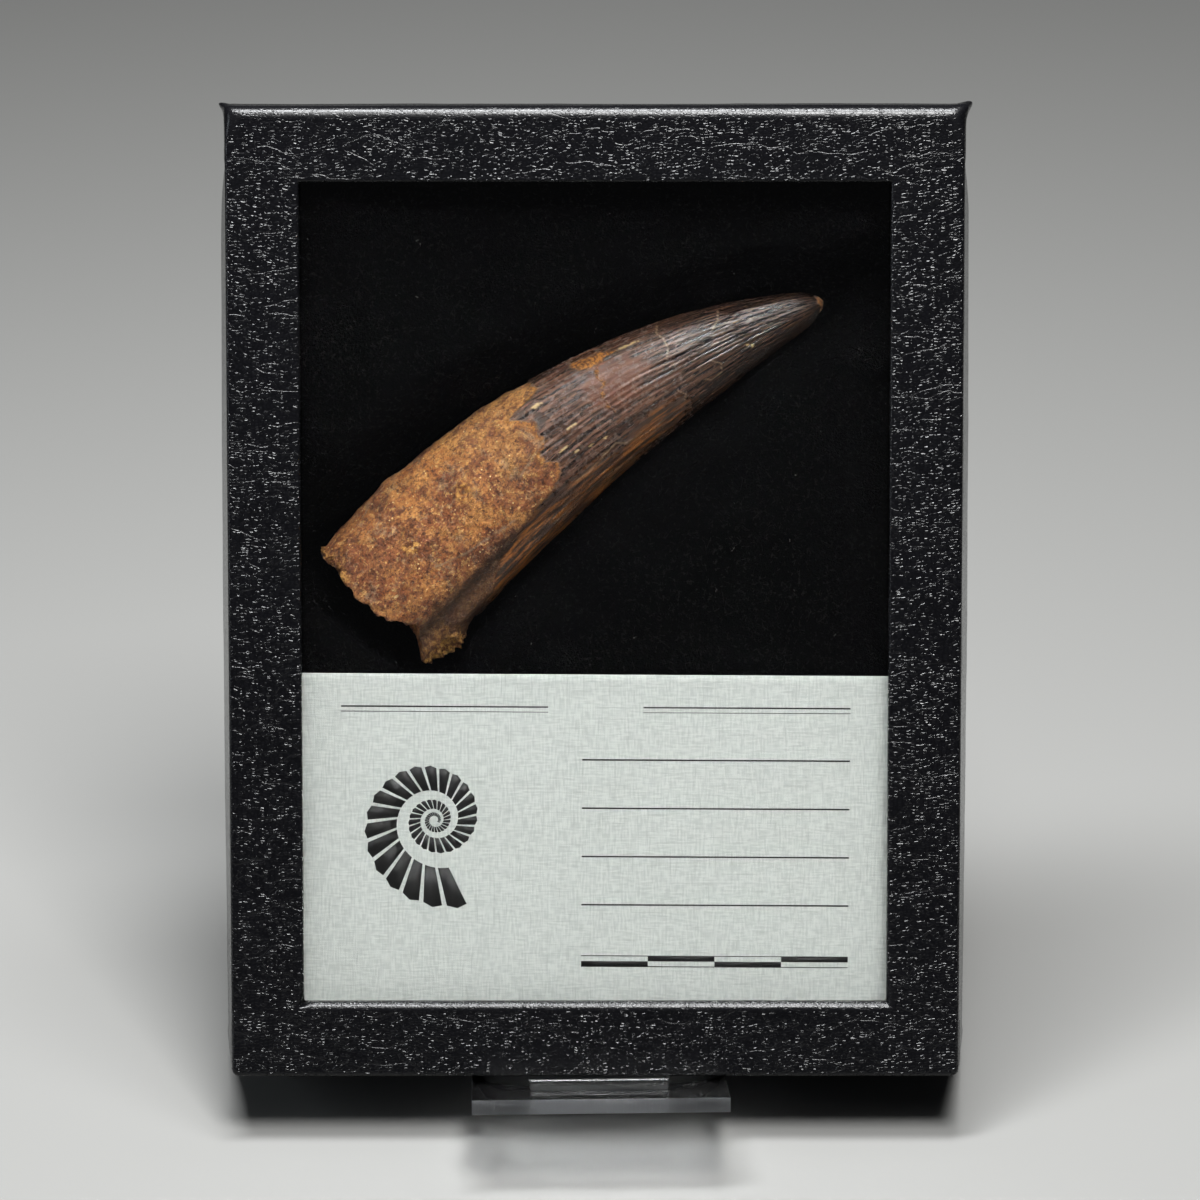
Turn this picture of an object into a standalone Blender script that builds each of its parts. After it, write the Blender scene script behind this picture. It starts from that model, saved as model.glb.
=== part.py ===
"""A fossil spinosaurus tooth in a glass-topped specimen box, which leans on a bent clear easel.

Metres, +Z up. The box's front faces -Y and leans back. The origin is on the table, under the middle of
the whole object. The pieces of the box are drawn in the box's own frame: x across, z up its face, and y
into its depth, with the tray's back at y = 0 and the lid's face at y = -CASE_DEPTH.
"""

import math

import bmesh
import bpy
from mathutils import Matrix, Vector, noise

MM = 0.001
GAP = 0.3 * MM

# The box: lid outside, and what it is cut from
CASE_WIDTH = 108.6 * MM
CASE_HEIGHT = 144.5 * MM
CASE_DEPTH = 27.0 * MM
LID_FACE = 2.2 * MM
LID_WALL = 1.5 * MM
LID_SHORT_OF_BACK = 1.0 * MM
LID_ROUNDING = 1.2 * MM
FLARE_SIDES = 2.4 * MM
FLARE_TOP = 0.1 * MM
WINDOW_WIDTH = 87.1 * MM
WINDOW_HEIGHT = 122.2 * MM
GLASS_THICKNESS = 2.0 * MM
GLASS_EDGE = 0.25 * MM
TRAY_WALL = 1.5 * MM
TRAY_BELOW_GLASS = 0.6 * MM
TRAY_ROUNDING = 0.25 * MM

# The tooth: an arc from the root's broken end to the tip
TOOTH_LENGTH = 81.0 * MM
TOOTH_BEND_RADIUS = 160.0 * MM
TOOTH_RISE = math.radians(48.8)
TOOTH_ROOT_X = -32.4 * MM
TOOTH_ROOT_Z = 69.85 * MM
TOOTH_MIDDLE_Y = -12.6 * MM
DEPTH_TO_WIDTH = 0.8
# (share of the length from the root, half the width in millimetres)
TOOTH_HALF_WIDTHS = [
    (0.0, 11.7), (0.1, 12.0), (0.25, 11.5), (0.4, 10.5), (0.55, 9.05),
    (0.7, 7.3), (0.82, 5.45), (0.92, 3.55), (0.97, 2.4), (1.0, 0.9),
]
# (angle from the convex edge in degrees, share of the length where the enamel begins)
ENAMEL_EDGE = [
    (0, 0.46), (40, 0.43), (80, 0.43), (110, 0.42),
    (120, 0.37), (128, 0.28), (145, 0.2), (180, 0.12),
]
ENAMEL_EDGE_WAVER = 0.03
ENAMEL_EDGE_SOFTNESS = 0.03
TOOTH_SIDES = 64
TOOTH_RINGS = 38
RINGS_CROWD_AT_ROOT = 0.93
FLUTE_HEIGHT = 0.16 * MM
FLUTES_END_WITHIN = 0.125
ENAMEL_STEP = 0.15 * MM
ROOT_LUMPS = 0.35 * MM
ROOT_GRAIN = 0.22 * MM
LUMPS_LEFT_ON_ENAMEL = 0.2
TIP_ROUNDING = 0.5 * MM
# Forms round the tooth: (angle from the convex edge in degrees, half width in degrees, height in millimetres)
FURROW = (133, 7, -0.55)
KEEL = (148, 6, 0.55)
ROOT_SPUR = (171, 16, 1.3)
# Shares of the length where the furrow and keel end, over which they fade, and where the spur is
ROOT_FORMS_END = 0.42
ROOT_FORMS_FADE = 0.12
SPUR_MIDDLE = 0.035
SPUR_HALF_LENGTH = 0.04
# The broken end: where its rim stands short of its mean line, or past it where the height is below 0
BROKEN_RIM = [(82, 22, -0.8), (120, 13, 2.1), (152, 12, -2.2), (184, 14, 2.2), (285, 25, 0.9)]
RIM_ROUGHNESS = 0.7 * MM
RIM_REACH = 0.08
# Rings that close the broken end: (scale of the ring, depth below the rim in millimetres)
BROKEN_FACE = [(0.3, 2.3), (0.6, 1.6), (0.86, 0.6)]
BROKEN_FACE_MIDDLE = 2.6 * MM
BROKEN_FACE_ROUGHNESS = 0.5 * MM

# The card and the wadding
CARD_WIDTH = 88.9 * MM
CARD_HEIGHT = 50.8 * MM
CARD_THICKNESS = 0.4 * MM
CARD_MIDDLE_Z = 34.6 * MM
CARD_SLANT = math.radians(0.34)
PADDING_FREE_Y = -20.9 * MM
PADDING_WAVE = 0.35 * MM
PADDING_WAVE_LENGTH = 17.0 * MM
PADDING_LEAST = 0.8 * MM
PADDING_COLUMNS = 36
PADDING_ROWS = 49
CRADLE_CLEARANCE = 1.5 * MM
CRADLE_SLOPE = 9.0 * MM
CRADLE_LIP = 1.0 * MM
CRADLE_END = 6.5 * MM
CRADLE_ROOT_ROOM = 1.8 * MM
CRADLE_ROOT_ROOM_ENDS = 0.12

# The easel: one strip of sheet with a tongue cut from its middle
SHEET = 2.2 * MM
EASEL_WIDTH = 38.0 * MM
LEAN = math.radians(18.0)
EASEL_TURN = math.radians(1.3)
LEDGE_IN_FRONT = 14.3 * MM
LEDGE_GAP = 0.45 * MM
BACK_GAP = 0.7 * MM
BEND_RADIUS = 2.0 * MM
BACK_REST_HEIGHT = 80.0 * MM
HINGE_HEIGHT = 68.0 * MM
SLOT_WIDTH = 21.0 * MM
TONGUE_WIDTH = 20.0 * MM
SLOT_STARTS_BEHIND_FACE = 0.6 * MM
LEG_LENGTH = 78.0 * MM
LEG_SPREAD = math.radians(28.8)
LEG_BEND_RADIUS = 3.0 * MM
LEDGE_BEND_STEPS = 6
LEG_BEND_STEPS = 5
SHEET_EDGE = 0.2 * MM
FOOT_CUT = 0.12 * MM
TABLE_HALF = 200.0 * MM
TABLE_DEPTH = 20.0 * MM


def collection(name):
    made = bpy.data.collections.new(name)
    bpy.context.scene.collection.children.link(made)
    return made


def material(name, colour, roughness, metallic=0.0, transmission=0.0, ior=1.5):
    """A Principled material in one colour."""
    made = bpy.data.materials.new(name)
    made.use_nodes = True
    shader = made.node_tree.nodes["Principled BSDF"]
    shader.inputs["Base Color"].default_value = (*colour, 1.0)
    shader.inputs["Roughness"].default_value = roughness
    shader.inputs["Metallic"].default_value = metallic
    shader.inputs["Transmission Weight"].default_value = transmission
    shader.inputs["IOR"].default_value = ior
    return made


def object_from(bm, name, parent, into, finish=None):
    """Turns a bmesh into an object under its parent, with normals out."""
    bmesh.ops.recalc_face_normals(bm, faces=bm.faces)
    mesh = bpy.data.meshes.new(name)
    bm.to_mesh(mesh)
    bm.free()
    made = bpy.data.objects.new(name, mesh)
    into.objects.link(made)
    made.parent = parent
    if finish:
        mesh.materials.append(finish)
    return made


def empty(name, parent, into):
    made = bpy.data.objects.new(name, None)
    into.objects.link(made)
    made.parent = parent
    return made


def block(x_range, y_range, z_range):
    """A bmesh cube stretched between three pairs of limits."""
    bm = bmesh.new()
    bmesh.ops.create_cube(bm, size=1.0)
    limits = (x_range, y_range, z_range)
    for vert in bm.verts:
        vert.co = Vector([low + (high - low) * (share + 0.5) for share, (low, high) in zip(vert.co, limits)])
    return bm


def bevel(made, width, segments):
    modifier = made.modifiers.new("Bevel", "BEVEL")
    modifier.width = width
    modifier.segments = segments
    modifier.limit_method = "ANGLE"
    modifier.angle_limit = math.radians(60)
    return modifier


def cut(made, cutter):
    modifier = made.modifiers.new("Cut " + cutter.name, "BOOLEAN")
    modifier.operation = "DIFFERENCE"
    modifier.solver = "EXACT"
    modifier.object = cutter
    cutter.hide_render = True
    cutter.display_type = "WIRE"


def shade_smooth(made, sharp_over=35.0):
    made.data.shade_smooth()
    made.data.set_sharp_from_angle(angle=math.radians(sharp_over))


def smooth_step(share):
    share = min(max(share, 0.0), 1.0)
    return share * share * (3 - 2 * share)


def through(points, at):
    """The value at a place on a smooth curve through listed (place, value) points."""
    if at <= points[0][0]:
        return points[0][1]
    for index in range(len(points) - 1):
        (x0, y0), (x1, y1) = points[index], points[index + 1]
        if at > x1:
            continue
        before = points[index - 1] if index else (x0, y0)
        after = points[index + 2] if index + 2 < len(points) else (x1, y1)
        slope0 = (y1 - before[1]) / (x1 - before[0])
        slope1 = (after[1] - y0) / (after[0] - x0)
        span = x1 - x0
        t = (at - x0) / span
        return (
            y0 * (1 + 2 * t) * (1 - t) ** 2
            + y1 * t * t * (3 - 2 * t)
            + slope0 * span * t * (1 - t) ** 2
            - slope1 * span * t * t * (1 - t)
        )
    return points[-1][1]


def flared_wall(y):
    """How far the lid's side wall has spread at depth y: nothing at the face, all of it at its rear edge."""
    return (y + CASE_DEPTH) / (CASE_DEPTH - LID_SHORT_OF_BACK)


def flared_block(inset, y_front, y_rear):
    """A block in the lid's outline less an inset, whose rear has spread outwards as the lid's walls do."""
    half = CASE_WIDTH / 2 - inset
    bm = block((-half, half), (y_front, y_rear), (inset, CASE_HEIGHT - inset))
    for vert in bm.verts:
        spread = flared_wall(vert.co.y)
        vert.co.x += math.copysign(FLARE_SIDES, vert.co.x) * spread
        if vert.co.z > CASE_HEIGHT / 2:
            vert.co.z += FLARE_TOP * spread
    return bm


def make_lid(parent, parts, cutters):
    """The lid: a face with a window opening and four walls that spread a little towards the rear."""
    bm = flared_block(0.0, -CASE_DEPTH, -LID_SHORT_OF_BACK)
    rounded = [edge for edge in bm.edges if min(v.co.y for v in edge.verts) < -CASE_DEPTH + GAP]
    bmesh.ops.bevel(bm, geom=rounded, offset=LID_ROUNDING, segments=3, profile=0.5, affect="EDGES")
    lid = object_from(bm, "lid", parent, parts, material("black leatherette", (0.012, 0.012, 0.014), 0.35))
    inside = flared_block(LID_WALL, -CASE_DEPTH + LID_FACE, LID_SHORT_OF_BACK)
    cut(lid, object_from(inside, "lid_inside_cutter", parent, cutters))
    across, up = WINDOW_WIDTH / 2, WINDOW_HEIGHT / 2
    middle = CASE_HEIGHT / 2
    window = block((-across, across), (-CASE_DEPTH - LID_FACE, -CASE_DEPTH / 2), (middle - up, middle + up))
    cut(lid, object_from(window, "window_cutter", parent, cutters))
    shade_smooth(lid)
    return lid


def inside_of_lid():
    """Half the width and half the height that fit in the lid, with the gap."""
    return CASE_WIDTH / 2 - LID_WALL - GAP, CASE_HEIGHT / 2 - LID_WALL - GAP


def glass_back_y():
    return -CASE_DEPTH + LID_FACE + GAP + GLASS_THICKNESS


def make_glass(parent, parts):
    half_x, half_z = inside_of_lid()
    middle = CASE_HEIGHT / 2
    back = glass_back_y()
    bm = block((-half_x, half_x), (back - GLASS_THICKNESS, back), (middle - half_z, middle + half_z))
    glass = material("window glass", (0.95, 0.98, 0.97), 0.02, transmission=1.0, ior=1.52)
    pane = object_from(bm, "window_glass", parent, parts, glass)
    bevel(pane, GLASS_EDGE, 1)
    return pane


def make_tray(parent, parts):
    """The tray: an open box of card, as a surface thickened inwards."""
    half_x, half_z = inside_of_lid()
    middle = CASE_HEIGHT / 2
    rim = glass_back_y() + TRAY_BELOW_GLASS
    bm = block((-half_x, half_x), (rim, 0.0), (middle - half_z, middle + half_z))
    front = [face for face in bm.faces if all(abs(v.co.y - rim) < GAP for v in face.verts)]
    bmesh.ops.delete(bm, geom=front, context="FACES_ONLY")
    tray = object_from(bm, "tray", parent, parts, material("black card", (0.015, 0.015, 0.016), 0.7))
    solidify = tray.modifiers.new("Thickness", "SOLIDIFY")
    solidify.thickness = TRAY_WALL
    solidify.offset = -1
    solidify.use_even_offset = True
    bevel(tray, TRAY_ROUNDING, 2)
    shade_smooth(tray)
    return tray


def half_width(share):
    return through(TOOTH_HALF_WIDTHS, share) * MM


def swelling(angle, form):
    """Height at an angle of a rounded form, listed as (middle, half width, height)."""
    middle, wide, high = form
    return high * MM * math.exp(-(((math.degrees(angle) - middle) / wide) ** 2))


def broken_end(angle):
    """How far the root's broken rim stands short of or past its mean line, towards the tip."""
    rough = RIM_ROUGHNESS * noise.noise(Vector((4.0 * math.cos(angle), 4.0 * math.sin(angle), 7.0)))
    return sum(swelling(angle, form) for form in BROKEN_RIM) + rough


def enamel_share(share, angle):
    """0 on the root, 1 on the enamel, across its irregular edge."""
    degrees = math.degrees(angle) % 360
    around = degrees if degrees <= 180 else 360 - degrees
    edge = through(ENAMEL_EDGE, around)
    edge += ENAMEL_EDGE_WAVER * noise.noise(Vector((2.5 * math.cos(angle), 2.5 * math.sin(angle), 1.0)))
    return smooth_step((share - edge) / ENAMEL_EDGE_SOFTNESS + 0.5)


def relief(share, angle):
    """Height of the tooth's surface over its plain form: flutes, root lumps, furrow and keel."""
    enamel = enamel_share(share, angle)
    place = Vector((math.cos(angle), math.sin(angle), share * TOOTH_LENGTH / (MM * TOOTH_HALF_WIDTHS[0][1])))
    lumps = ROOT_LUMPS * noise.noise(place * 2.0) + ROOT_GRAIN * noise.noise(place * 5.5 + Vector((9, 0, 0)))
    flutes = FLUTE_HEIGHT * math.cos(angle * TOOTH_SIDES / 2) * min(1.0, (1 - share) / FLUTES_END_WITHIN)
    fade = smooth_step((ROOT_FORMS_END - share) / ROOT_FORMS_FADE)
    long_forms = (swelling(angle, FURROW) + swelling(angle, KEEL)) * fade
    spur = swelling(angle, ROOT_SPUR) * math.exp(-(((share - SPUR_MIDDLE) / SPUR_HALF_LENGTH) ** 2))
    lumps *= 1 - (1 - LUMPS_LEFT_ON_ENAMEL) * enamel
    return lumps + (flutes + ENAMEL_STEP) * enamel + long_forms + spur


def on_tooth(share, angle, scale=1.0, push=0.0):
    """A point of the tooth in its own frame: the root's middle at 0, +X along the root, bending to -Z."""
    turn = share * TOOTH_LENGTH / TOOTH_BEND_RADIUS
    outwards = Vector((math.sin(turn), 0, math.cos(turn)))
    along = Vector((math.cos(turn), 0, -math.sin(turn)))
    middle = Vector((0, 0, -TOOTH_BEND_RADIUS)) + outwards * TOOTH_BEND_RADIUS
    width = half_width(share) + relief(share, angle)
    offset = outwards * math.cos(angle) * width - Vector((0, 1, 0)) * math.sin(angle) * width * DEPTH_TO_WIDTH
    return middle + offset * scale + along * push


def tooth_ring(bm, share, scale=1.0, hollow=0.0):
    """One ring of points round the tooth. Near the root its rim follows the broken end."""
    ring = []
    near_root = max(0.0, 1 - share / RIM_REACH)
    for step in range(TOOTH_SIDES):
        angle = 2 * math.pi * step / TOOTH_SIDES
        push = broken_end(angle) * near_root * scale + hollow
        if scale < 1:
            place = Vector((math.cos(angle), math.sin(angle), scale * 3))
            push += BROKEN_FACE_ROUGHNESS * noise.noise(place * 3)
        ring.append(bm.verts.new(on_tooth(share, angle, scale, push)))
    return ring


def join_rings(bm, first, second):
    for step in range(len(first)):
        following = (step + 1) % len(first)
        bm.faces.new((first[step], first[following], second[following], second[step]))


def close_ring(bm, ring, centre):
    middle = bm.verts.new(centre)
    for step in range(len(ring)):
        bm.faces.new((ring[step], ring[(step + 1) % len(ring)], middle))


def make_tooth(parent, parts):
    """The tooth as a loft of rings, closed by a hollow broken end and a rounded tip."""
    bm = bmesh.new()
    rings = [tooth_ring(bm, 0.0, scale, depth * MM) for scale, depth in BROKEN_FACE]
    for step in range(TOOTH_RINGS):
        share = (step / (TOOTH_RINGS - 1)) ** RINGS_CROWD_AT_ROOT
        rings.append(tooth_ring(bm, share))
    for first, second in zip(rings, rings[1:]):
        join_rings(bm, first, second)
    close_ring(bm, rings[0], Vector((BROKEN_FACE_MIDDLE, 0, 0)))
    close_ring(bm, rings[-1], on_tooth(1.0, 0.0, 0.0, TIP_ROUNDING))
    fossil = material("fossil root and enamel", (0.38, 0.2, 0.09), 0.55)
    tooth = object_from(bm, "tooth", parent, parts, fossil)
    tooth.location = (TOOTH_ROOT_X, TOOTH_MIDDLE_Y, TOOTH_ROOT_Z)
    tooth.rotation_euler = (0, -TOOTH_RISE, 0)
    tooth.data.shade_smooth()
    return tooth


def along_and_across(x, z):
    """Share of the tooth's length, and distance outside its middle line, of a place on the box's face."""
    turned = Matrix.Rotation(TOOTH_RISE, 3, "Y") @ Vector((x - TOOTH_ROOT_X, 0, z - TOOTH_ROOT_Z))
    from_centre = turned + Vector((0, 0, TOOTH_BEND_RADIUS))
    angle = math.atan2(from_centre.x, from_centre.z)
    return angle * TOOTH_BEND_RADIUS / TOOTH_LENGTH, from_centre.length - TOOTH_BEND_RADIUS


def padding_front(x, z):
    """Depth of the wadding's front at a place on the box's face: nearly level, and hollowed for the tooth."""
    share, across = along_and_across(x, z)
    width = half_width(min(max(share, 0.0), 1.0)) + CRADLE_CLEARANCE
    width += CRADLE_ROOT_ROOM * smooth_step((CRADLE_ROOT_ROOM_ENDS - share) / CRADLE_ROOT_ROOM_ENDS)
    beyond = max(-share, share - 1, 0.0) * TOOTH_LENGTH
    reach = math.hypot(across / width, beyond / CRADLE_END)
    lip = TOOTH_MIDDLE_Y - CRADLE_LIP
    if reach > 1:
        wave = PADDING_WAVE * noise.noise(Vector((x, z, 0)) / PADDING_WAVE_LENGTH)
        outside = (reach - 1) * width
        return lip + (PADDING_FREE_Y + wave - lip) * smooth_step(outside / CRADLE_SLOPE)
    depth = (width - CRADLE_CLEARANCE / 2) * DEPTH_TO_WIDTH
    return lip + (depth + CRADLE_LIP) * math.sqrt(1 - reach * reach)


def make_padding(parent, parts):
    """The wadding: a grid over the tray's floor whose front is sunk round the tooth."""
    half_x, half_z = (half - TRAY_WALL - GAP for half in inside_of_lid())
    middle = CASE_HEIGHT / 2
    back = -TRAY_WALL - GAP
    bm = bmesh.new()
    bmesh.ops.create_grid(bm, x_segments=PADDING_COLUMNS, y_segments=PADDING_ROWS, size=1.0)
    for vert in bm.verts:
        x, z = vert.co.x * half_x, middle + vert.co.y * half_z
        vert.co = Vector((x, min(padding_front(x, z), back - PADDING_LEAST), z))
    walls = bmesh.ops.extrude_face_region(bm, geom=bm.faces[:], use_keep_orig=True)
    for vert in (item for item in walls["geom"] if isinstance(item, bmesh.types.BMVert)):
        vert.co.y = back
    flat = [face for face in bm.faces if all(abs(vert.co.y - back) < GAP / 10 for vert in face.verts)]
    bmesh.ops.dissolve_faces(bm, faces=flat)
    return object_from(bm, "padding", parent, parts, material("black wadding", (0.006, 0.006, 0.007), 0.95))


def make_card(parent, parts):
    front = glass_back_y() + GAP
    half_x, half_z = CARD_WIDTH / 2, CARD_HEIGHT / 2
    bm = block((-half_x, half_x), (0.0, CARD_THICKNESS), (-half_z, half_z))
    card = object_from(bm, "label_card", parent, parts, material("linen card", (0.62, 0.64, 0.6), 0.8))
    card.location = (0, front, CARD_MIDDLE_Z)
    card.rotation_euler = (0, CARD_SLANT, 0)
    return card


def bend_lengths():
    """Distances along the strip from the ledge's front edge: where the bend starts and where it ends."""
    ledge_flat = CASE_DEPTH + LEDGE_IN_FRONT + BACK_GAP - BEND_RADIUS
    return ledge_flat, ledge_flat + BEND_RADIUS * math.pi / 2


def on_strip(length):
    """Where a line across the strip lies once the ledge is bent: (y, z) in the box's frame."""
    flat_end, bend_end = bend_lengths()
    ledge_z, back_y = -LEDGE_GAP, BACK_GAP
    if length <= flat_end:
        return back_y - BEND_RADIUS - (flat_end - length), ledge_z
    if length >= bend_end:
        return back_y, ledge_z + BEND_RADIUS + (length - bend_end)
    turn = (length - flat_end) / BEND_RADIUS
    y = back_y - BEND_RADIUS + BEND_RADIUS * math.sin(turn)
    return y, ledge_z + BEND_RADIUS * (1 - math.cos(turn))


def on_leg(below_hinge):
    """Where a line across the tongue lies once it is bent back from the hinge line."""
    hinge_length = bend_lengths()[1] + HINGE_HEIGHT - BEND_RADIUS
    hinge_y, hinge_z = on_strip(hinge_length)
    full = LEAN + LEG_SPREAD
    turn = min(below_hinge / LEG_BEND_RADIUS, full)
    straight = max(0.0, below_hinge - full * LEG_BEND_RADIUS)
    y = hinge_y + LEG_BEND_RADIUS * (1 - math.cos(turn)) + straight * math.sin(full)
    return y, hinge_z - LEG_BEND_RADIUS * math.sin(turn) - straight * math.cos(full)


def strip_rows():
    """Distances along the strip where a row of points is wanted."""
    flat_end, bend_end = bend_lengths()
    slot = LEDGE_IN_FRONT + SLOT_STARTS_BEHIND_FACE
    hinge = bend_end + HINGE_HEIGHT - BEND_RADIUS
    steps = range(LEDGE_BEND_STEPS + 1)
    bend = [flat_end + (bend_end - flat_end) * step / LEDGE_BEND_STEPS for step in steps]
    return [0.0, slot, *bend, hinge, bend_end + BACK_REST_HEIGHT - BEND_RADIUS], slot, hinge


def make_easel(parent, parts, cutters):
    """The easel: a bent strip with a slot, and the tongue from the slot bent back as its leg."""
    rows, slot, hinge = strip_rows()
    slot_half, tongue_half = SLOT_WIDTH / 2, TONGUE_WIDTH / 2
    columns = [-EASEL_WIDTH / 2, -slot_half, -tongue_half, tongue_half, slot_half, EASEL_WIDTH / 2]
    bm = bmesh.new()
    grid = [[bm.verts.new((x, *on_strip(length))) for x in columns] for length in rows]
    for row, (near, far) in enumerate(zip(grid, grid[1:])):
        in_slot = rows[row] >= slot and rows[row + 1] <= hinge
        for column in range(len(columns) - 1):
            if in_slot and 0 < column < len(columns) - 2:
                continue
            bm.faces.new((near[column], near[column + 1], far[column + 1], far[column]))
    full = (LEAN + LEG_SPREAD) * LEG_BEND_RADIUS
    above = [grid[rows.index(hinge)][column] for column in (2, 3)]
    bend = [full * step / LEG_BEND_STEPS for step in range(1, LEG_BEND_STEPS + 1)]
    for below in [*bend, LEG_LENGTH]:
        edge = [bm.verts.new((x, *on_leg(below))) for x in (-tongue_half, tongue_half)]
        bm.faces.new((above[0], above[1], edge[1], edge[0]))
        above = edge
    bmesh.ops.recalc_face_normals(bm, faces=bm.faces)
    unused = [vert for vert in bm.verts if not vert.link_faces]
    bmesh.ops.delete(bm, geom=unused, context="VERTS")
    acrylic = material("clear acrylic", (0.93, 0.96, 0.97), 0.03, transmission=1.0, ior=1.49)
    easel = object_from(bm, "easel_stand", parent, parts, acrylic)
    solidify = easel.modifiers.new("Sheet", "SOLIDIFY")
    solidify.thickness = SHEET
    solidify.offset = outer_side(easel)
    solidify.use_even_offset = True
    bevel(easel, SHEET_EDGE, 1)
    table = block((-TABLE_HALF, TABLE_HALF), (-TABLE_HALF, TABLE_HALF), (-TABLE_DEPTH, 0.0))
    cut(easel, object_from(table, "table_cutter", None, cutters))
    shade_smooth(easel)
    return easel


def outer_side(easel):
    """Solidify's offset that thickens the sheet away from the box: +1 where the ledge's faces look down."""
    ledge = min(easel.data.polygons, key=lambda face: face.center.y)
    return 1.0 if ledge.normal.z < 0 else -1.0


def lift_above_table():
    """How high the box's lower rear edge lies, for the bend's underside to touch the table."""
    y, z = BACK_GAP - BEND_RADIUS, -LEDGE_GAP + BEND_RADIUS
    bend_middle = -y * math.sin(LEAN) + z * math.cos(LEAN)
    return BEND_RADIUS + SHEET - FOOT_CUT - bend_middle


def centre_over_origin(parts, base):
    """Moves everything so that the middle of its bounding box, seen from above, is at x = y = 0."""
    bpy.context.view_layer.update()
    graph = bpy.context.evaluated_depsgraph_get()
    corners = []
    for part in parts.objects:
        if part.type == "MESH":
            seen = part.evaluated_get(graph)
            corners += [seen.matrix_world @ vert.co for vert in seen.data.vertices]
    for axis in (0, 1):
        values = [corner[axis] for corner in corners]
        base.location[axis] = -(min(values) + max(values)) / 2


def main():
    for old in list(bpy.data.objects):
        bpy.data.objects.remove(old, do_unlink=True)
    parts = collection("spinosaurus_tooth_display")
    cutters = collection("cutters")

    base = empty("base_middle", None, parts)
    case = empty("case_lean", base, parts)
    case.location.z = lift_above_table()
    case.rotation_euler = (-LEAN, 0, 0)
    stand = empty("easel_lean", base, parts)
    stand.location.z = lift_above_table()
    stand.rotation_euler = (-LEAN, 0, EASEL_TURN)

    make_lid(case, parts, cutters)
    make_glass(case, parts)
    make_tray(case, parts)
    make_padding(case, parts)
    make_tooth(case, parts)
    make_card(case, parts)
    make_easel(stand, parts, cutters)
    centre_over_origin(parts, base)


main()
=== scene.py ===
# %% [markdown]
# # A fossil tooth in its specimen box
# The object is a spinosaurus tooth pressed into black wadding, with a museum card, in a glass-topped card
# box that leans on a clear easel. The packed model gives every solid at its real size and place, so the
# first step is to load it. All lengths are in metres, and MM turns a number of millimetres into metres.

# %% Load the packed model
import math

import bmesh
import bpy
import numpy as np
from mathutils import Matrix, Vector, noise


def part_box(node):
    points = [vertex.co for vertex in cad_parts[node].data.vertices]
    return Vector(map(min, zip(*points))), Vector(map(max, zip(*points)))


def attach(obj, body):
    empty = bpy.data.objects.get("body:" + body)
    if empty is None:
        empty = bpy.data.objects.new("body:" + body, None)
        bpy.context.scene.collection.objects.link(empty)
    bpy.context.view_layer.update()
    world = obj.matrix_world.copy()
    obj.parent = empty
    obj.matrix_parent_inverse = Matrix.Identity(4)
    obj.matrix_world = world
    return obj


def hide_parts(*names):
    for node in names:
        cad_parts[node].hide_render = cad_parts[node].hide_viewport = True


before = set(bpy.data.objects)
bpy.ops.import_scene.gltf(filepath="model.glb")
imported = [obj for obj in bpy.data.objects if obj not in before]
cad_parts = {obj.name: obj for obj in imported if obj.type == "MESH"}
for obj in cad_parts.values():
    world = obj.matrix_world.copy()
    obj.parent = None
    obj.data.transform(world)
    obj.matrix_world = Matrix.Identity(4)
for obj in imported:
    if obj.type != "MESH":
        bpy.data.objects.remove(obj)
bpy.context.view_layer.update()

MM = 0.001
print("CAD nodes:", sorted(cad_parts))

# %% [markdown]
# The box leans back by 18 degrees, which would make every width and depth awkward to write. So the pieces
# are drawn in the box's own frame, x across, z up its face and y into its depth, and one matrix leans
# them. Its shift is read off the packed lid: the lid's rear lower edge is its lowest line and the rear
# upper edge its furthest.

# %% The box's own frame
LEAN = math.radians(18.0)
CASE_WIDTH, CASE_HEIGHT, CASE_DEPTH = 108.6 * MM, 144.5 * MM, 27.0 * MM
LID_SHORT_OF_BACK = 1.0 * MM
FLARE_SIDES, FLARE_TOP = 2.4 * MM, 0.1 * MM
MIDDLE_Z = CASE_HEIGHT / 2

lid_low, lid_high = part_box("lid")
rear_top = (CASE_HEIGHT + FLARE_TOP) * math.sin(LEAN) - LID_SHORT_OF_BACK * math.cos(LEAN)
base_shift = Vector((0, lid_high.y - rear_top, lid_low.z - LID_SHORT_OF_BACK * math.sin(LEAN)))
CASE = Matrix.Translation(base_shift) @ Matrix.Rotation(-LEAN, 4, "X")
print("box shift in mm:", [round(value / MM, 2) for value in base_shift])

# %% [markdown]
# The photo was taken from 6 degrees above the square-on line of the leaning face, so 24 degrees above the
# table, from about 0.74 m away. A long lens keeps the box's sides nearly parallel. Two small offsets aim
# the camera so that the box sits in the frame as it does in the photo.

# %% Camera
CAMERA_HEIGHT = math.radians(24.0)
CAMERA_DISTANCE = 0.74
SEEN_POINT = Vector((0.3, -27.0, 73.0)) * MM
AIM_RIGHT, AIM_DOWN = 0.44 * MM, 1.33 * MM

to_camera = Vector((0, -math.cos(CAMERA_HEIGHT), math.sin(CAMERA_HEIGHT)))
picture_up = to_camera.cross(Vector((1, 0, 0)))
camera = bpy.data.objects.new("camera", bpy.data.cameras.new("camera"))
camera.data.lens = 150
camera.data.sensor_width = 36
camera.data.clip_start = 0.01
camera.location = CASE @ SEEN_POINT + to_camera * CAMERA_DISTANCE
aim = CASE @ SEEN_POINT + Vector((AIM_RIGHT, 0, 0)) - picture_up * AIM_DOWN
camera.rotation_euler = (aim - camera.location).to_track_quat("-Z", "Y").to_euler()
bpy.context.scene.collection.objects.link(camera)
bpy.context.scene.camera = camera
print("camera at", [round(value, 3) for value in camera.location])

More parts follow.
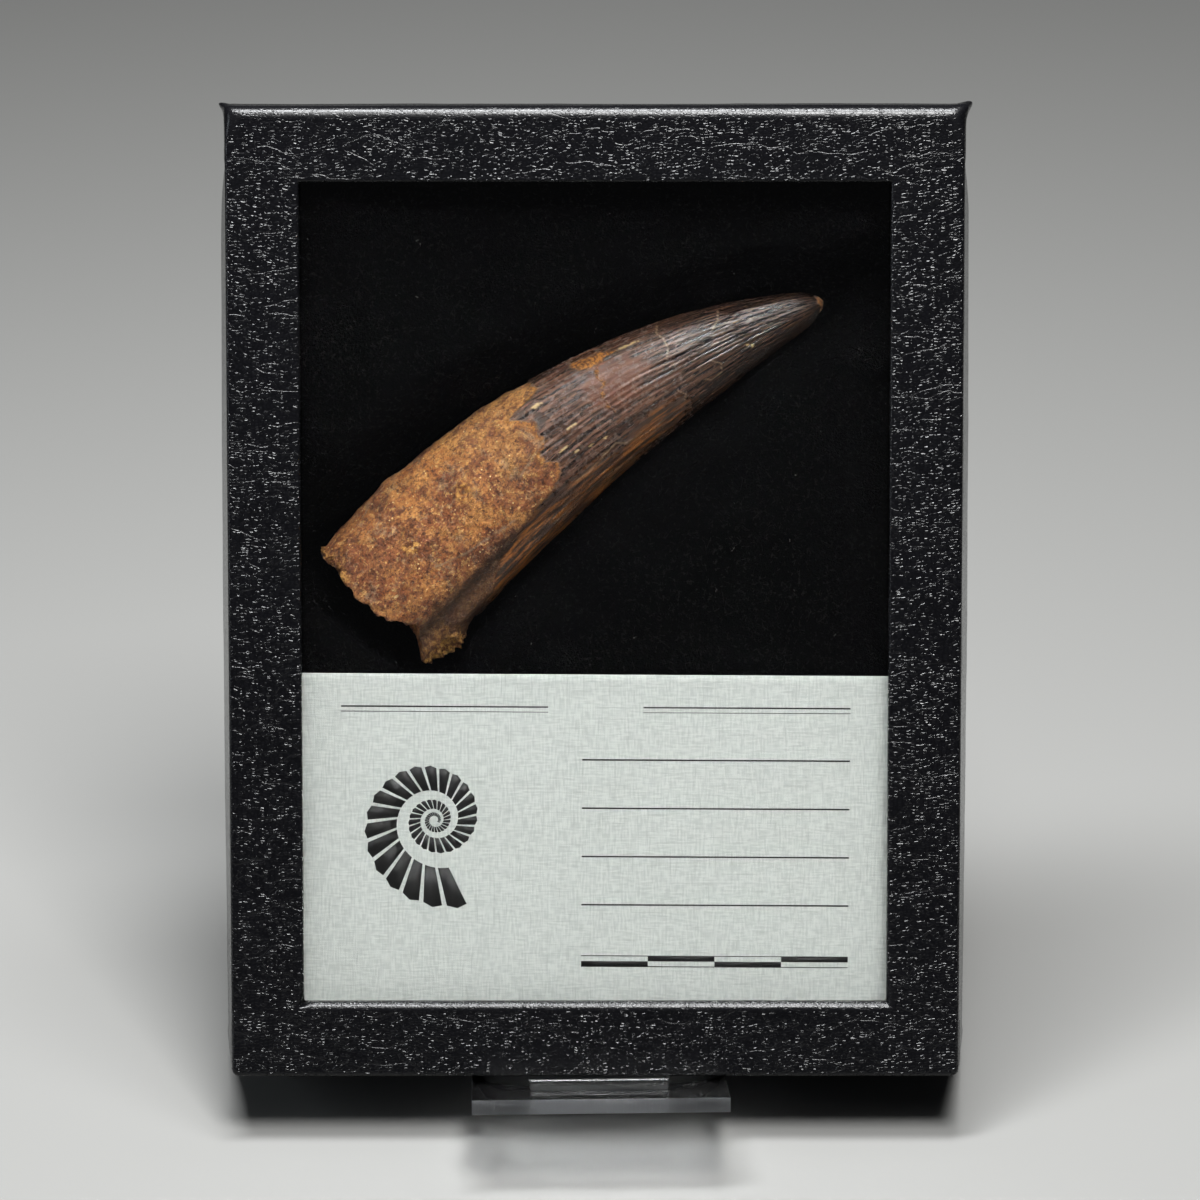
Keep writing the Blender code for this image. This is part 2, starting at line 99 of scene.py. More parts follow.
# %% [markdown]
# The studio has four soft lights. A long one hangs over the box and reaches a little behind it, which gives
# the bright line along the lid's top edge and the glints in the leatherette. One further forward and to
# the right stands where the crown's polished side mirrors it, a weak one in front fills the face, and a
# weak strip picks out the left side. The rest stays dim, so that the glass shows what is behind it and not
# a grey reflection.


# %% Lights
def soft_light(name, place, size, watts, colour=(1, 1, 1), towards=(0, 0, 0.07)):
    light = bpy.data.lights.new(name, "AREA")
    light.shape = "RECTANGLE"
    light.size, light.size_y = size
    light.energy = watts
    light.color = colour
    lamp = bpy.data.objects.new(name, light)
    lamp.location = place
    lamp.rotation_euler = (Vector(towards) - Vector(place)).to_track_quat("-Z", "Y").to_euler()
    bpy.context.scene.collection.objects.link(lamp)
    print(name, "of", watts, "W")


soft_light("overhead strip", (-0.05, -0.02, 0.56), (0.10, 0.32), 7.4, (0.97, 0.985, 1.0))
soft_light("upper softbox", (0.10, -0.34, 0.82), (0.23, 0.30), 13.5)
soft_light("front softbox", (-0.15, -0.75, 0.95), (0.40, 0.40), 0.5)
soft_light("left strip", (-0.8, -0.25, 0.3), (0.1, 0.5), 1.4, (0.85, 0.93, 1.0))

world = bpy.data.worlds.new("studio")
world.use_nodes = True
world.node_tree.nodes["Background"].inputs["Color"].default_value = (0.02, 0.0205, 0.022, 1)
bpy.context.scene.world = world
bpy.context.scene.view_settings.view_transform = "Standard"

# %% [markdown]
# Every finish below is a Principled material with its own nodes. A small class keeps the wiring short:
# each call adds one node and returns the socket that the next one needs. Most finishes are built as a
# painter would: a ground colour, and further tones laid over it where a mask or a noise says so.


# %% A helper for finishes
class Finish:
    """A Principled material that is wired node by node."""

    def __init__(self, name, **shader_values):
        self.material = bpy.data.materials.new(name)
        self.material.use_nodes = True
        self.tree = self.material.node_tree
        self.shader = self.tree.nodes["Principled BSDF"]
        for key, value in shader_values.items():
            self.shader.inputs[key.replace("_", " ")].default_value = value

    def add(self, kind, inputs=(), out=0, **options):
        """Adds a node; an input may be a number, a colour or another node's socket."""
        node = self.tree.nodes.new("ShaderNode" + kind)
        for key, value in options.items():
            setattr(node, key, value)
        for key, value in dict(inputs).items():
            if isinstance(value, bpy.types.NodeSocket):
                self.tree.links.new(value, node.inputs[key])
            else:
                node.inputs[key].default_value = value
        return node.outputs[out]

    def link(self, socket, shader_input):
        self.tree.links.new(socket, self.shader.inputs[shader_input])

    def place(self):
        return self.add("TexCoord", out="Object")

    def stretched(self, where, x, y, z):
        return self.add("VectorMath", {0: where, 1: (x, y, z)}, operation="MULTIPLY")

    def grain(self, where, scale, detail=2.0, rough=0.5):
        sizes = {"Vector": where, "Scale": scale, "Detail": detail, "Roughness": rough}
        return self.add("TexNoise", sizes)

    def levels(self, value, low, high, to_low=0.0, to_high=1.0):
        """Spreads a value smoothly from (low, high) over (to_low, to_high)."""
        limits = {0: value, 1: low, 2: high, 3: to_low, 4: to_high}
        return self.add("MapRange", limits, interpolation_type="SMOOTHSTEP")

    def calc(self, operation, first, second=0.0):
        return self.add("Math", {0: first, 1: second}, operation=operation)

    def blend(self, share, first, second):
        return self.add("Mix", {0: share, 6: first, 7: second}, out=2, data_type="RGBA")

    def part(self, value, amount):
        return self.calc("MULTIPLY", value, amount)

    def ridges(self, value, width):
        """0 on the line where a noise passes through its middle, 1 beyond a distance from it."""
        return self.levels(self.calc("ABSOLUTE", self.calc("SUBTRACT", value, 0.5)), 0.0, width)

    def over(self, ground, layers):
        """Lays (share, amount, tone) layers over a ground colour, one after another."""
        for share, amount, tone in layers:
            ground = self.blend(self.part(share, amount), ground, colour(*tone))
        return ground

    def bump(self, height, depth, strength=1.0):
        sizes = {"Height": height, "Distance": depth, "Strength": strength}
        self.link(self.add("Bump", sizes), "Normal")


print("finish helpers:", [name for name in vars(Finish) if not name.startswith("_")])


# %% [markdown]
# Every piece goes through the same few steps, so those are functions too. One turns points and faces into
# an object, one lists the quads of a net, and one gives a piece its finish and hides the packed nodes that
# it stands for.


# %% Helpers for colours and pieces
def colour(red, green, blue):
    """A colour picked as 0 to 255 screen values, in the linear values that shaders take."""
    return tuple(((value / 255 + 0.055) / 1.055) ** 2.4 for value in (red, green, blue)) + (1.0,)


def dress(piece, finish, slot, *stands_for):
    """Gives a piece its finish, attaches it to the root body, and hides the packed nodes that it stands
    for. The slot is not used.
    """
    if finish:
        piece.data.materials.append(finish.material)
    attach(piece, "root")
    if stands_for:
        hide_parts(*stands_for)
    print(piece.name, "has", len(piece.data.polygons), "faces")


def listed(x, y, z):
    """One (x, y, z) row for each point, from three arrays that have one shape."""
    return np.stack([x, y, z], axis=-1).reshape(-1, 3)


def extent(values):
    return round(float(np.min(values)), 2), round(float(np.max(values)), 2)


def mesh_piece(name, points, faces, matrix=CASE):
    """An object from points and faces, smooth shaded."""
    mesh = bpy.data.meshes.new(name)
    mesh.from_pydata(points, [], faces)
    mesh.shade_smooth()
    piece = bpy.data.objects.new(name, mesh)
    piece.matrix_world = matrix
    bpy.context.scene.collection.objects.link(piece)
    return piece


def net_faces(rows, columns, closed_rows=False, closed_columns=True):
    """Quads between the rows and columns of a net of points that are listed row by row."""
    quads = []
    for row in range(rows if closed_rows else rows - 1):
        below, above = row * columns, (row + 1) % rows * columns
        for column in range(columns if closed_columns else columns - 1):
            beside = (column + 1) % columns
            quads.append((below + column, below + beside, above + beside, above + column))
    return quads


def smooth_step(share):
    share = np.clip(share, 0.0, 1.0)
    return share * share * (3 - 2 * share)


print("a net of 3 x 4 points has", len(net_faces(3, 4, closed_columns=False)), "faces")

# %% [markdown] The floor is one large plane in a plain matt tone.

# %% Floor
bpy.ops.mesh.primitive_plane_add(size=6)
floor = bpy.context.object
floor.name = "floor"
paper = Finish("pale floor", Base_Color=colour(110, 110, 108), Roughness=0.9)
floor.data.materials.append(paper.material)
print("floor is", round(floor.dimensions.x, 1), "m wide")

# %% [markdown]
# ## The lid
# The real lid is greyboard wrapped in black leatherette paper. In section it is one closed strip: in at
# the window's edge, out over the face, round the outer edge, back along the wall and in again. So the lid
# is made as a picture frame would be, by carrying that section round a rectangle. Each point of the
# section knows how far it lies from the window towards the outer edge, and the rectangle grows with it.
# The board's edges are crisp, but along the top and under the window the paper is wrapped more loosely and
# rounder, which gives the two bright bands. So there are three sections, and the ring passes between them.

# %% The lid's section
WINDOW_WIDTH, WINDOW_HEIGHT = 87.1 * MM, 122.2 * MM
LID_FACE, LID_WALL = 2.2 * MM, 1.5 * MM
EDGE_SHARP, EDGE_ROUND = 0.55 * MM, 1.7 * MM
WINDOW_SHARP, WINDOW_ROUND = 0.4 * MM, 1.1 * MM
SIDE_BORDER = (CASE_WIDTH - WINDOW_WIDTH) / 2
FACE_STEPS, WALL_STEPS, ROUND_STEPS = 34, 44, 7


def quarter_round(centre, radius, first, last, steps):
    """Points (outwards, depth) on a quarter circle between two angles in degrees."""
    angles = np.radians(np.linspace(first, last, steps))
    return [(centre[0] + radius * math.cos(a), centre[1] + radius * math.sin(a)) for a in angles]


def lid_section(at_window, at_edge):
    """(outwards from the window, depth) round the lid's section, for the roundings beside its face."""
    face, back = -CASE_DEPTH, -LID_SHORT_OF_BACK
    outer = SIDE_BORDER
    section = [(0.0, face + LID_FACE), (0.0, face + LID_FACE * 0.6)]
    section += quarter_round((at_window, face + at_window), at_window, 180, 270, ROUND_STEPS)
    span = outer - at_window - at_edge
    section += [(at_window + span * step / FACE_STEPS, face) for step in range(1, FACE_STEPS)]
    section += quarter_round((outer - at_edge, face + at_edge), at_edge, 270, 360, ROUND_STEPS)
    depth = back - 0.4 * MM - (face + at_edge)
    section += [(outer, face + at_edge + depth * step / WALL_STEPS) for step in range(1, WALL_STEPS + 1)]
    section += quarter_round((outer - LID_WALL / 2, back - LID_WALL / 2), LID_WALL / 2, 30, 150, 5)
    inner = outer - LID_WALL
    section += [(inner, back - 3 * MM), (inner, face + LID_FACE + 4 * MM), (inner, face + LID_FACE)]
    section += [(inner * 0.5, face + LID_FACE)]
    return section


SECTIONS = [
    lid_section(WINDOW_SHARP, EDGE_SHARP),
    lid_section(WINDOW_SHARP, EDGE_ROUND),
    lid_section(WINDOW_ROUND, EDGE_SHARP),
]
print("points in the lid's section:", len(SECTIONS[0]))


# %% [markdown]
# A real wrapped box is never quite flat: the board bows a little, the paper swells over its edges, a
# folded flap shows as a faint step on the side walls, and the paper stands out in small pinched points at
# the two top corners. These are real shape, so they are moved points. The fine leather grain would need
# millions of points, so it is left to the finish. First come the sizes of those flaws, and the rectangle
# that the section is carried round.


# %% The lid's flaws and its rectangle
SIDE_STEPS, CORNER_STEPS = 150, 7
BOARD_WAVE, PAPER_WAVE = 0.10 * MM, 0.035 * MM
FLAP_REACH, FLAP_STEP = 9.0 * MM, 0.14 * MM
# The side walls bow out at half height and are pulled in just below the upper corners
WALL_BOW, PULLED_IN, PULLED_IN_BELOW = 0.3 * MM, 0.9 * MM, 5.0 * MM
# The pinched points: side, how far out and up they stand, and how wide they are
EARS = [(-1, 1.3 * MM, 0.6 * MM, 0.8 * MM), (1, 1.4 * MM, 0.75 * MM, 1.2 * MM)]
EAR_DEPTH = -20.0 * MM
# The paper's cut at the window's lower left corner leaves a small slanting nick
NICK, NICK_WIDE = 0.6 * MM, 0.45 * MM
# Over this length the roundings change at the corners
ROUNDING_CHANGE = 6.0 * MM


def rounded_rectangle(half_x, half_z, radius):
    """Points (x, z) round a rectangle about the box's middle, from its lower left corner, anticlockwise."""
    points = []
    corners = [(-1, -1, 180), (1, -1, 270), (1, 1, 0), (-1, 1, 90)]
    for index, (side_x, side_z, start) in enumerate(corners):
        centre = np.array((side_x * (half_x - radius), side_z * (half_z - radius)))
        for step in range(CORNER_STEPS + 1):
            angle = math.radians(start + 90 * step / CORNER_STEPS)
            points.append(centre + radius * np.array((math.cos(angle), math.sin(angle))))
        next_x, next_z, next_start = corners[(index + 1) % 4]
        turn = math.radians(next_start)
        next_centre = np.array((next_x * (half_x - radius), next_z * (half_z - radius)))
        finish_at = next_centre + radius * np.array((math.cos(turn), math.sin(turn)))
        begin = points[-1]
        for step in range(1, SIDE_STEPS):
            points.append(begin + (finish_at - begin) * step / SIDE_STEPS)
    return points


print("points round the lid:", len(rounded_rectangle(WINDOW_WIDTH / 2, WINDOW_HEIGHT / 2, WINDOW_SHARP)))


# %% [markdown]
# One function moves a single point from its plain place to where the wrapped paper would be. It spreads
# the walls, adds the bow and the swelling, steps the flap, and pulls out the two pinched points.


# %% One point of the lid
def unevenness(point, size, seed):
    return noise.noise(point / size + Vector((seed, 0, 0)))


def lid_point(x, z, y, outwards):
    """One point of the lid, with the walls' spread and the wrapping's unevenness."""
    spread = (y + CASE_DEPTH) / (CASE_DEPTH - LID_SHORT_OF_BACK)
    share = outwards / SIDE_BORDER
    wall = max(0.0, (share - 0.8) / 0.2)
    from_pull = (CASE_HEIGHT - PULLED_IN_BELOW - z) / (1.3 * PULLED_IN_BELOW)
    flare = FLARE_SIDES + WALL_BOW * math.sin(math.pi * z / CASE_HEIGHT)
    flare -= PULLED_IN * math.exp(-(from_pull**2))
    x += math.copysign(flare, x) * spread * wall
    if z > MIDDLE_Z:
        z += FLARE_TOP * spread * wall
    point = Vector((x, y, z))
    push = BOARD_WAVE * unevenness(point, 26 * MM, 3) + PAPER_WAVE * unevenness(point, 4 * MM, 7)
    on_face = spread < 0.05
    if on_face:
        point.y += min(0.0, push) if share < 0.05 else push
    elif share > 0.99:
        from_corner = min(CASE_HEIGHT + FLARE_TOP - z, z) if abs(x) > CASE_WIDTH / 2 - 0.3 * MM else 1.0
        flap = smooth_step((FLAP_REACH - 0.25 * (y + CASE_DEPTH) - from_corner) / (0.5 * MM))
        out = push + FLAP_STEP * flap * (1 - smooth_step((FLARE_SIDES - from_corner) / FLARE_SIDES))
        if abs(x) > CASE_WIDTH / 2 - 0.3 * MM:
            point.x += math.copysign(out, x)
        else:
            point.z += push if z > MIDDLE_Z else -push
    for side, out, up, wide in EARS:
        corner = Vector((side * (CASE_WIDTH / 2 + 0.3 * MM), EAR_DEPTH, CASE_HEIGHT))
        away = point - corner
        pinch = math.exp(-((away.x / wide) ** 2) - (away.z / wide) ** 2 - (away.y / (5 * wide)) ** 2)
        point.x += side * out * pinch
        point.z += up * pinch
    if outwards < 1.5 * MM and y < -CASE_DEPTH + LID_FACE:
        from_nick = math.hypot(x + WINDOW_WIDTH / 2, z - (CASE_HEIGHT - WINDOW_HEIGHT) / 2) / NICK_WIDE
        cut = NICK * math.exp(-(from_nick**2))
        point += Vector((-cut, 0, -cut))
    return point


corner = lid_point(CASE_WIDTH / 2, 0, -CASE_DEPTH, SIDE_BORDER)
print("front corner in mm:", [round(value / MM, 2) for value in corner])


# %% [markdown]
# The rings of points, one for each point of the section, become the lid's net. The share of each ring that
# takes the rounder section is also stored on the points, because the finish is smoother there.


# %% The lid, carried round
def lid_ring(outwards, depth):
    """Places (x, z, depth, outwards) of one point of the section, carried round the window."""
    half_x = WINDOW_WIDTH / 2 + outwards
    half_z = WINDOW_HEIGHT / 2 + outwards / SIDE_BORDER * (CASE_HEIGHT - WINDOW_HEIGHT) / 2
    ring = rounded_rectangle(half_x, half_z, 0.25 * MM + outwards / SIDE_BORDER * 0.8 * MM)
    return np.array([(x, z, depth, outwards) for x, z in ring])


def make_lid_cover():
    points, pulled = [], []
    for plain, loose_edge, loose_window in zip(*SECTIONS):
        ring = lid_ring(*plain)
        up = ring[:, 1] / ring[:, 1].max()
        change = ROUNDING_CHANGE / ring[:, 1].max()
        top, bottom = smooth_step((up - 1) / change + 1), smooth_step((-up - 1) / change + 1)
        more_edge, more_window = lid_ring(*loose_edge) - ring, lid_ring(*loose_window) - ring
        ring = ring + top[:, None] * more_edge + bottom[:, None] * more_window
        points += [lid_point(x, z + MIDDLE_Z, depth, outwards) for x, z, depth, outwards in ring.tolist()]
        in_front = ring[:, 2] < -CASE_DEPTH + EDGE_ROUND
        on_edge = ring[:, 3] > SIDE_BORDER - 1.1 * EDGE_ROUND
        on_window = ring[:, 3] < 1.1 * WINDOW_ROUND
        pulled.append(in_front * (top * on_edge + bottom * on_window))
    around = len(points) // len(pulled)
    piece = mesh_piece("lid_cover", points, net_faces(len(pulled), around, closed_rows=True))
    print("lid's points:", len(points), "of them pulled smooth:", int((np.array(pulled) > 0.5).sum()))
    pulled = np.repeat(np.array(pulled, np.float32).ravel(), 4)
    piece.data.attributes.new("pulled", "FLOAT_COLOR", "POINT").data.foreach_set("color", pulled)
    return piece


# %% [markdown]
# Leatherette is paper embossed with a wrinkled grain: small flat pebbles in wavy rows, nearly half a
# millimetre high and half as long again, with fine creases between. Under a light from above each pebble
# flashes along its upper slope. A Voronoi pattern gives the pebbles, each with a height of its own; it is
# squeezed in height, and noise bends its rows. Long wavy creases come from the line where a second noise
# passes through its middle. Where the paper is pulled over the board's edges it is smoother, which the
# stored value "pulled" tells.


# %% Leatherette
def leatherette():
    finish = Finish("leatherette", IOR=1.5, Specular_IOR_Level=0.22)
    place = finish.place()
    drift = finish.add("TexNoise", {"Vector": place, "Scale": 120.0, "Detail": 3.0}, out=1)
    drift = finish.add("VectorMath", {0: drift, 1: (0.5, 0.5, 0.5)}, operation="SUBTRACT")
    drift = finish.stretched(drift, 0.0015, 0.0015, 0.0028)
    bent = finish.add("VectorMath", {0: place, 1: drift}, operation="ADD")
    rows = finish.stretched(bent, 1.6, 1.6, 2.3)
    cells = {"Vector": rows, "Scale": 1000.0, "Randomness": 0.8}
    pebble = finish.add("TexVoronoi", cells, feature="DISTANCE_TO_EDGE")
    pebble = finish.levels(pebble, 0.01, 0.26)
    crease = finish.grain(finish.stretched(bent, 1.0, 1.0, 2.2), 85.0, 2.0, 0.5)
    crease = finish.ridges(crease, 0.012)
    own = finish.add("TexVoronoi", cells, out="Color", feature="F1")
    own = finish.levels(finish.add("SeparateColor", {0: own}), 0.3, 0.95, 0.08, 0.56)
    height = finish.calc("ADD", finish.part(pebble, own), finish.part(crease, 0.25))
    pulled = finish.add("SeparateColor", {0: finish.add("Attribute", attribute_name="pulled")})
    finish.bump(height, 0.00016, finish.levels(pulled, 0.0, 1.0, 1.0, 0.35))
    # painted shade: the creases between the pebbles are a little darker than their tops
    tone = finish.blend(pebble, colour(4, 4, 6), colour(10, 10, 12))
    finish.link(tone, "Base Color")
    rough = finish.calc("ADD", finish.levels(pebble, 0.0, 1.0, 0.24, 0.15), finish.part(pulled, 0.07))
    finish.link(rough, "Roughness")
    return finish


black_leatherette = leatherette()
dress(make_lid_cover(), black_leatherette, "leatherette", "lid")

# %% [markdown]
# ## Glass
# The pane is a packed node whose shape is right: flat, 2 mm thick, with eased edges. It needs only clear
# glass, and the faint smears and dust that any pane collects, as a small change of roughness.


# %% Window glass
def pane_glass():
    finish = Finish("window glass", IOR=1.5, Transmission_Weight=1.0, Base_Color=(0.985, 0.995, 0.99, 1))
    smear = finish.grain(finish.stretched(finish.place(), 1.0, 1.0, 0.4), 60.0, 4.0, 0.6)
    finish.link(finish.levels(smear, 0.62, 0.85, 0.0, 0.05), "Roughness")
    return finish


def refinish(node, finish):
    """Gives a packed node that stays in view its finish."""
    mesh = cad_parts[node].data
    mesh.materials.clear()
    mesh.materials.append(finish.material)
    print(node, "keeps its packed shape, in", finish.material.name)


refinish("window_glass", pane_glass())

# %% [markdown]
# ## The tooth
# The tooth is one grown thing: a granular root and a fluted enamel crown. Its form is a bent cone, so
# the mesh is a net of rings along a circular arc. Each ring's points sit closest on its front half, which
# is all that shows once the tooth lies in its wadding. Distances along the tooth are given as shares of
# its length from the root, and places round it as degrees from the outer, convex edge.

# %% The tooth's driving sizes
TOOTH_LENGTH, TOOTH_BEND_RADIUS = 81.0, 160.0
TOOTH_RISE = math.radians(48.8)
TOOTH_PLACE = Vector((-32.4, -12.6, 69.85)) * MM
DEPTH_TO_WIDTH = 0.8
# Half widths in millimetres at shares of the length
WIDTH_AT = [0.0, 0.1, 0.25, 0.4, 0.55, 0.7, 0.82, 0.92, 0.97, 1.0]
HALF_WIDTH = [11.7, 12.0, 11.5, 10.5, 9.05, 7.3, 5.45, 3.55, 2.4, 0.9]
TOOTH_RINGS, FRONT_STEPS, BACK_STEPS = 330, 200, 70
TOOTH = CASE @ Matrix.Translation(TOOTH_PLACE) @ Matrix.Rotation(-TOOTH_RISE, 4, "Y")


def smooth_through(at, places, values):
    """A smooth curve through listed values, with slopes taken between neighbours."""
    places, values = np.array(places), np.array(values)
    slopes = np.gradient(values, places)
    slopes[1:-1] = (values[2:] - values[:-2]) / (places[2:] - places[:-2])
    index = np.clip(np.searchsorted(places, at) - 1, 0, len(places) - 2)
    span = places[index + 1] - places[index]
    t = np.clip((at - places[index]) / span, 0.0, 1.0)
    return (
        values[index] * (1 + 2 * t) * (1 - t) ** 2
        + values[index + 1] * t * t * (3 - 2 * t)
        + slopes[index] * span * t * (1 - t) ** 2
        - slopes[index + 1] * span * t * t * (1 - t)
    )


front = np.linspace(0, math.pi, FRONT_STEPS, endpoint=False)
back = np.linspace(math.pi, 2 * math.pi, BACK_STEPS, endpoint=False)
ring_angles = np.concatenate([front, back])
ring_shares = np.linspace(0, 1, TOOTH_RINGS) ** 0.95
SHARE, ANGLE = np.meshgrid(ring_shares, ring_angles, indexing="ij")
DEGREES = np.degrees(ANGLE)
PLAIN_WIDTH = smooth_through(SHARE, WIDTH_AT, HALF_WIDTH)
print("net of the tooth:", SHARE.shape)


# %% [markdown]
# All the small forms and colour zones are worked out on that net from a few rules: noise at a given grain
# size, rounded patches with ragged edges, and lines of a given width. Their sizes are in millimetres from
# the middle of the mark, so a patch 2 mm wide is written as 1.


# %% Rules for marks on the tooth
def tooth_noise(size, seed=0.0, stretch=1.0):
    """Noise over the tooth's net, in grains of a size in millimetres, drawn out along it by a factor."""
    across = (PLAIN_WIDTH * np.cos(ANGLE) / size).ravel()
    deep = (PLAIN_WIDTH * DEPTH_TO_WIDTH * np.sin(ANGLE) / size).ravel()
    along = (SHARE * TOOTH_LENGTH / (size * stretch) + seed).ravel()
    values = [noise.noise(point) for point in zip(across.tolist(), deep.tolist(), along.tolist())]
    return np.array(values).reshape(SHARE.shape)


def apart(share, degrees):
    """Millimetres along and round the tooth from a place on it to every point of the net."""
    round_it = (DEGREES - degrees + 180) % 360 - 180
    return (SHARE - share) * TOOTH_LENGTH, np.radians(round_it) * PLAIN_WIDTH * 0.92


def patch(share, degrees, long, wide, ragged=0.0, soft=0.25):
    """1 inside a rounded patch with half sizes in millimetres, 0 outside it."""
    along, across = apart(share, degrees)
    reach = np.hypot(along / long, across / wide) + ragged
    return 1 - smooth_step((reach - 1) / soft + 0.5)


def line(places, width, wander=0.0):
    """1 on a line through (share, degrees) places, 0 beyond its width in millimetres."""
    nearest = np.full(SHARE.shape, 99.0)
    for (share0, degrees0), (share1, degrees1) in zip(places, places[1:]):
        along, across = apart(share0, degrees0)
        run = (share1 - share0) * TOOTH_LENGTH
        turn = math.radians(degrees1 - degrees0) * PLAIN_WIDTH * 0.92
        t = np.clip((along * run + across * turn) / (run * run + turn * turn), 0, 1)
        nearest = np.minimum(nearest, np.hypot(along - t * run, across - t * turn))
    return 1 - smooth_step((nearest + wander) / width)


GRAINS = ((5, 0), (2.2, 5), (0.9, 9), (0.45, 13))
coarse, medium, fine, finest = (tooth_noise(size, seed) for size, seed in GRAINS)
streaks = tooth_noise(0.9, 21, 9)
long_streaks = tooth_noise(2.4, 31, 7)
print("coarse noise runs from and to", extent(coarse))

# %% [markdown]
# The root ends where the enamel begins, along a scalloped edge about two fifths of the way up. Orange
# root shows through where the enamel has flaked, an amber zone glows low on the crown, and a few pale
# cracks cross it. Each zone is a mask from 0 to 1 on the net.

# %% Zones of the tooth
EDGE_DEGREES = [0, 24, 34, 41, 47, 53, 62, 72, 82, 88, 95, 102, 110, 118, 124, 132, 145, 160, 180]
EDGE_SHARE = [
    0.47, 0.468, 0.472, 0.445, 0.405, 0.415, 0.435, 0.437, 0.43, 0.412,
    0.412, 0.432, 0.425, 0.385, 0.33, 0.26, 0.19, 0.14, 0.11,
]
around = np.minimum(DEGREES, 360 - DEGREES)
enamel_edge = smooth_through(around, EDGE_DEGREES, EDGE_SHARE)
enamel_edge += 0.006 * medium + 0.006 * fine + 0.003 * finest
enamel = smooth_step((SHARE - enamel_edge) / 0.007 + 0.5)
edge_crust = smooth_step(1 - np.abs(SHARE - enamel_edge + 0.004) / 0.010) * smooth_step((118 - around) / 10)
ragged = 0.45 * fine + 0.3 * medium
flake = np.maximum(patch(0.585, 33, 2.6, 1.1, ragged), patch(0.56, 28, 1.3, 0.9, ragged))
tail = line([(0.585, 42), (0.575, 55), (0.58, 64), (0.565, 78), (0.57, 93)], 0.42, 0.3 * fine)
flake = np.maximum(flake, tail * smooth_step((finest + 0.12) / 0.2))
rubbed = patch(0.60, 68, 5.0, 3.2, ragged * 0.8, 0.6) * (1 - flake)
amber = patch(0.625, 138, 6.0, 2.0, 0.5 * long_streaks + 0.25 * fine, 0.8) * enamel
amber = np.maximum(amber, 0.6 * patch(0.43, 135, 8.0, 2.0, 0.5 * long_streaks + 0.2 * fine, 1.0))
amber = np.maximum(amber, 0.85 * patch(0.30, 150, 16.0, 4.5, 0.5 * long_streaks + 0.2 * fine, 1.0))
crust = patch(0.447, 62, 0.8, 1.4, ragged * 1.6, 0.5) + patch(0.43, 47, 0.8, 0.7, ragged * 1.5, 0.6) * 0.6
tip_chip = 0.6 * smooth_step((SHARE - 0.991 - 0.006 * fine) / 0.006)
flake = np.maximum(flake, tip_chip)
print("enamel covers", round(float(enamel.mean()), 2), "of the net")

# %% [markdown]
# Cracks and cream specks are small and many, so they are listed: each crack by the places that it passes,
# with its strength, width and wander, each cream streak by its place and half length, and each speck by
# its place.

# %% Cracks, scratches and specks
CREAM_STREAKS = [(0.49, 84, 0.9), (0.455, 96, 0.6), (0.50, 108, 0.5), (0.47, 104, 0.4), (0.53, 110, 0.4)]
CREAM_SPECKS = [(0.845, 108), (0.852, 113), (0.07, 91), (0.045, 94), (0.125, 79)]
# (strength, width, wander, places)
CRACKS = [
    (1.0, 0.16, 0.06, [(0.715, 2), (0.712, 20), (0.705, 36), (0.713, 50), (0.71, 64), (0.70, 74)]),
    (0.8, 0.15, 0.08, [(0.822, 22), (0.82, 34), (0.812, 52), (0.80, 60)]),
    (1.0, 0.15, 0.06, [(0.69, 112), (0.70, 122), (0.69, 132)]),
    (0.8, 0.14, 0.05, [(0.77, 100), (0.785, 112), (0.78, 124), (0.755, 126), (0.745, 119)]),
    (1.0, 0.18, 0.10, [(0.42, 126), (0.47, 127), (0.50, 124), (0.54, 121), (0.555, 128), (0.59, 130)]),
    (0.7, 0.16, 0.10, [(0.36, 148), (0.44, 146), (0.52, 150)]),
]
SCRATCHES = [
    (1.0, 0.22, 0.15, [(0.36, 92), (0.40, 86), (0.435, 80)]),
    (1.0, 0.30, 0.25, [(0.13, 100), (0.20, 110), (0.30, 116)]),
]


def marks_of(table):
    return sum(strength * line(places, width, wander * fine) for strength, width, wander, places in table)


cream = patch(0.652, 36, 1.3, 0.2, 1.1 * finest) + patch(0.458, 50, 0.6, 0.3, 1.0 * finest)
for share, degrees, long in CREAM_STREAKS:
    cream += patch(share, degrees, long, 0.12, 1.2 * finest)
for share, degrees in CREAM_SPECKS:
    cream += patch(share, degrees, 0.22, 0.18, 0.9 * finest)
crack, scratch = marks_of(CRACKS), marks_of(SCRATCHES)
print("cracks cover", round(float((crack > 0.5).mean()), 4), "of the net")

# %% [markdown]
# The relief is added in the same way. The root has lumps at four grain sizes and a small crater. The crown
# has two pits, and flutes that run nearly to the tip and fade on its polished upper side. A furrow and a
# keel run along the root's inner side, and the broken end is notched, with a spur that stands out below.


# %% Relief of the tooth
def swelling(degrees, wide):
    """A rounded form round the tooth: 1 at an angle, fading within a number of degrees."""
    return np.exp(-(((DEGREES - degrees) / wide) ** 2))


def ring_form(share, degrees, radius, wide):
    along, across = apart(share, degrees)
    return np.exp(-(((np.hypot(along, across) + 0.5 * fine - radius) / wide) ** 2))


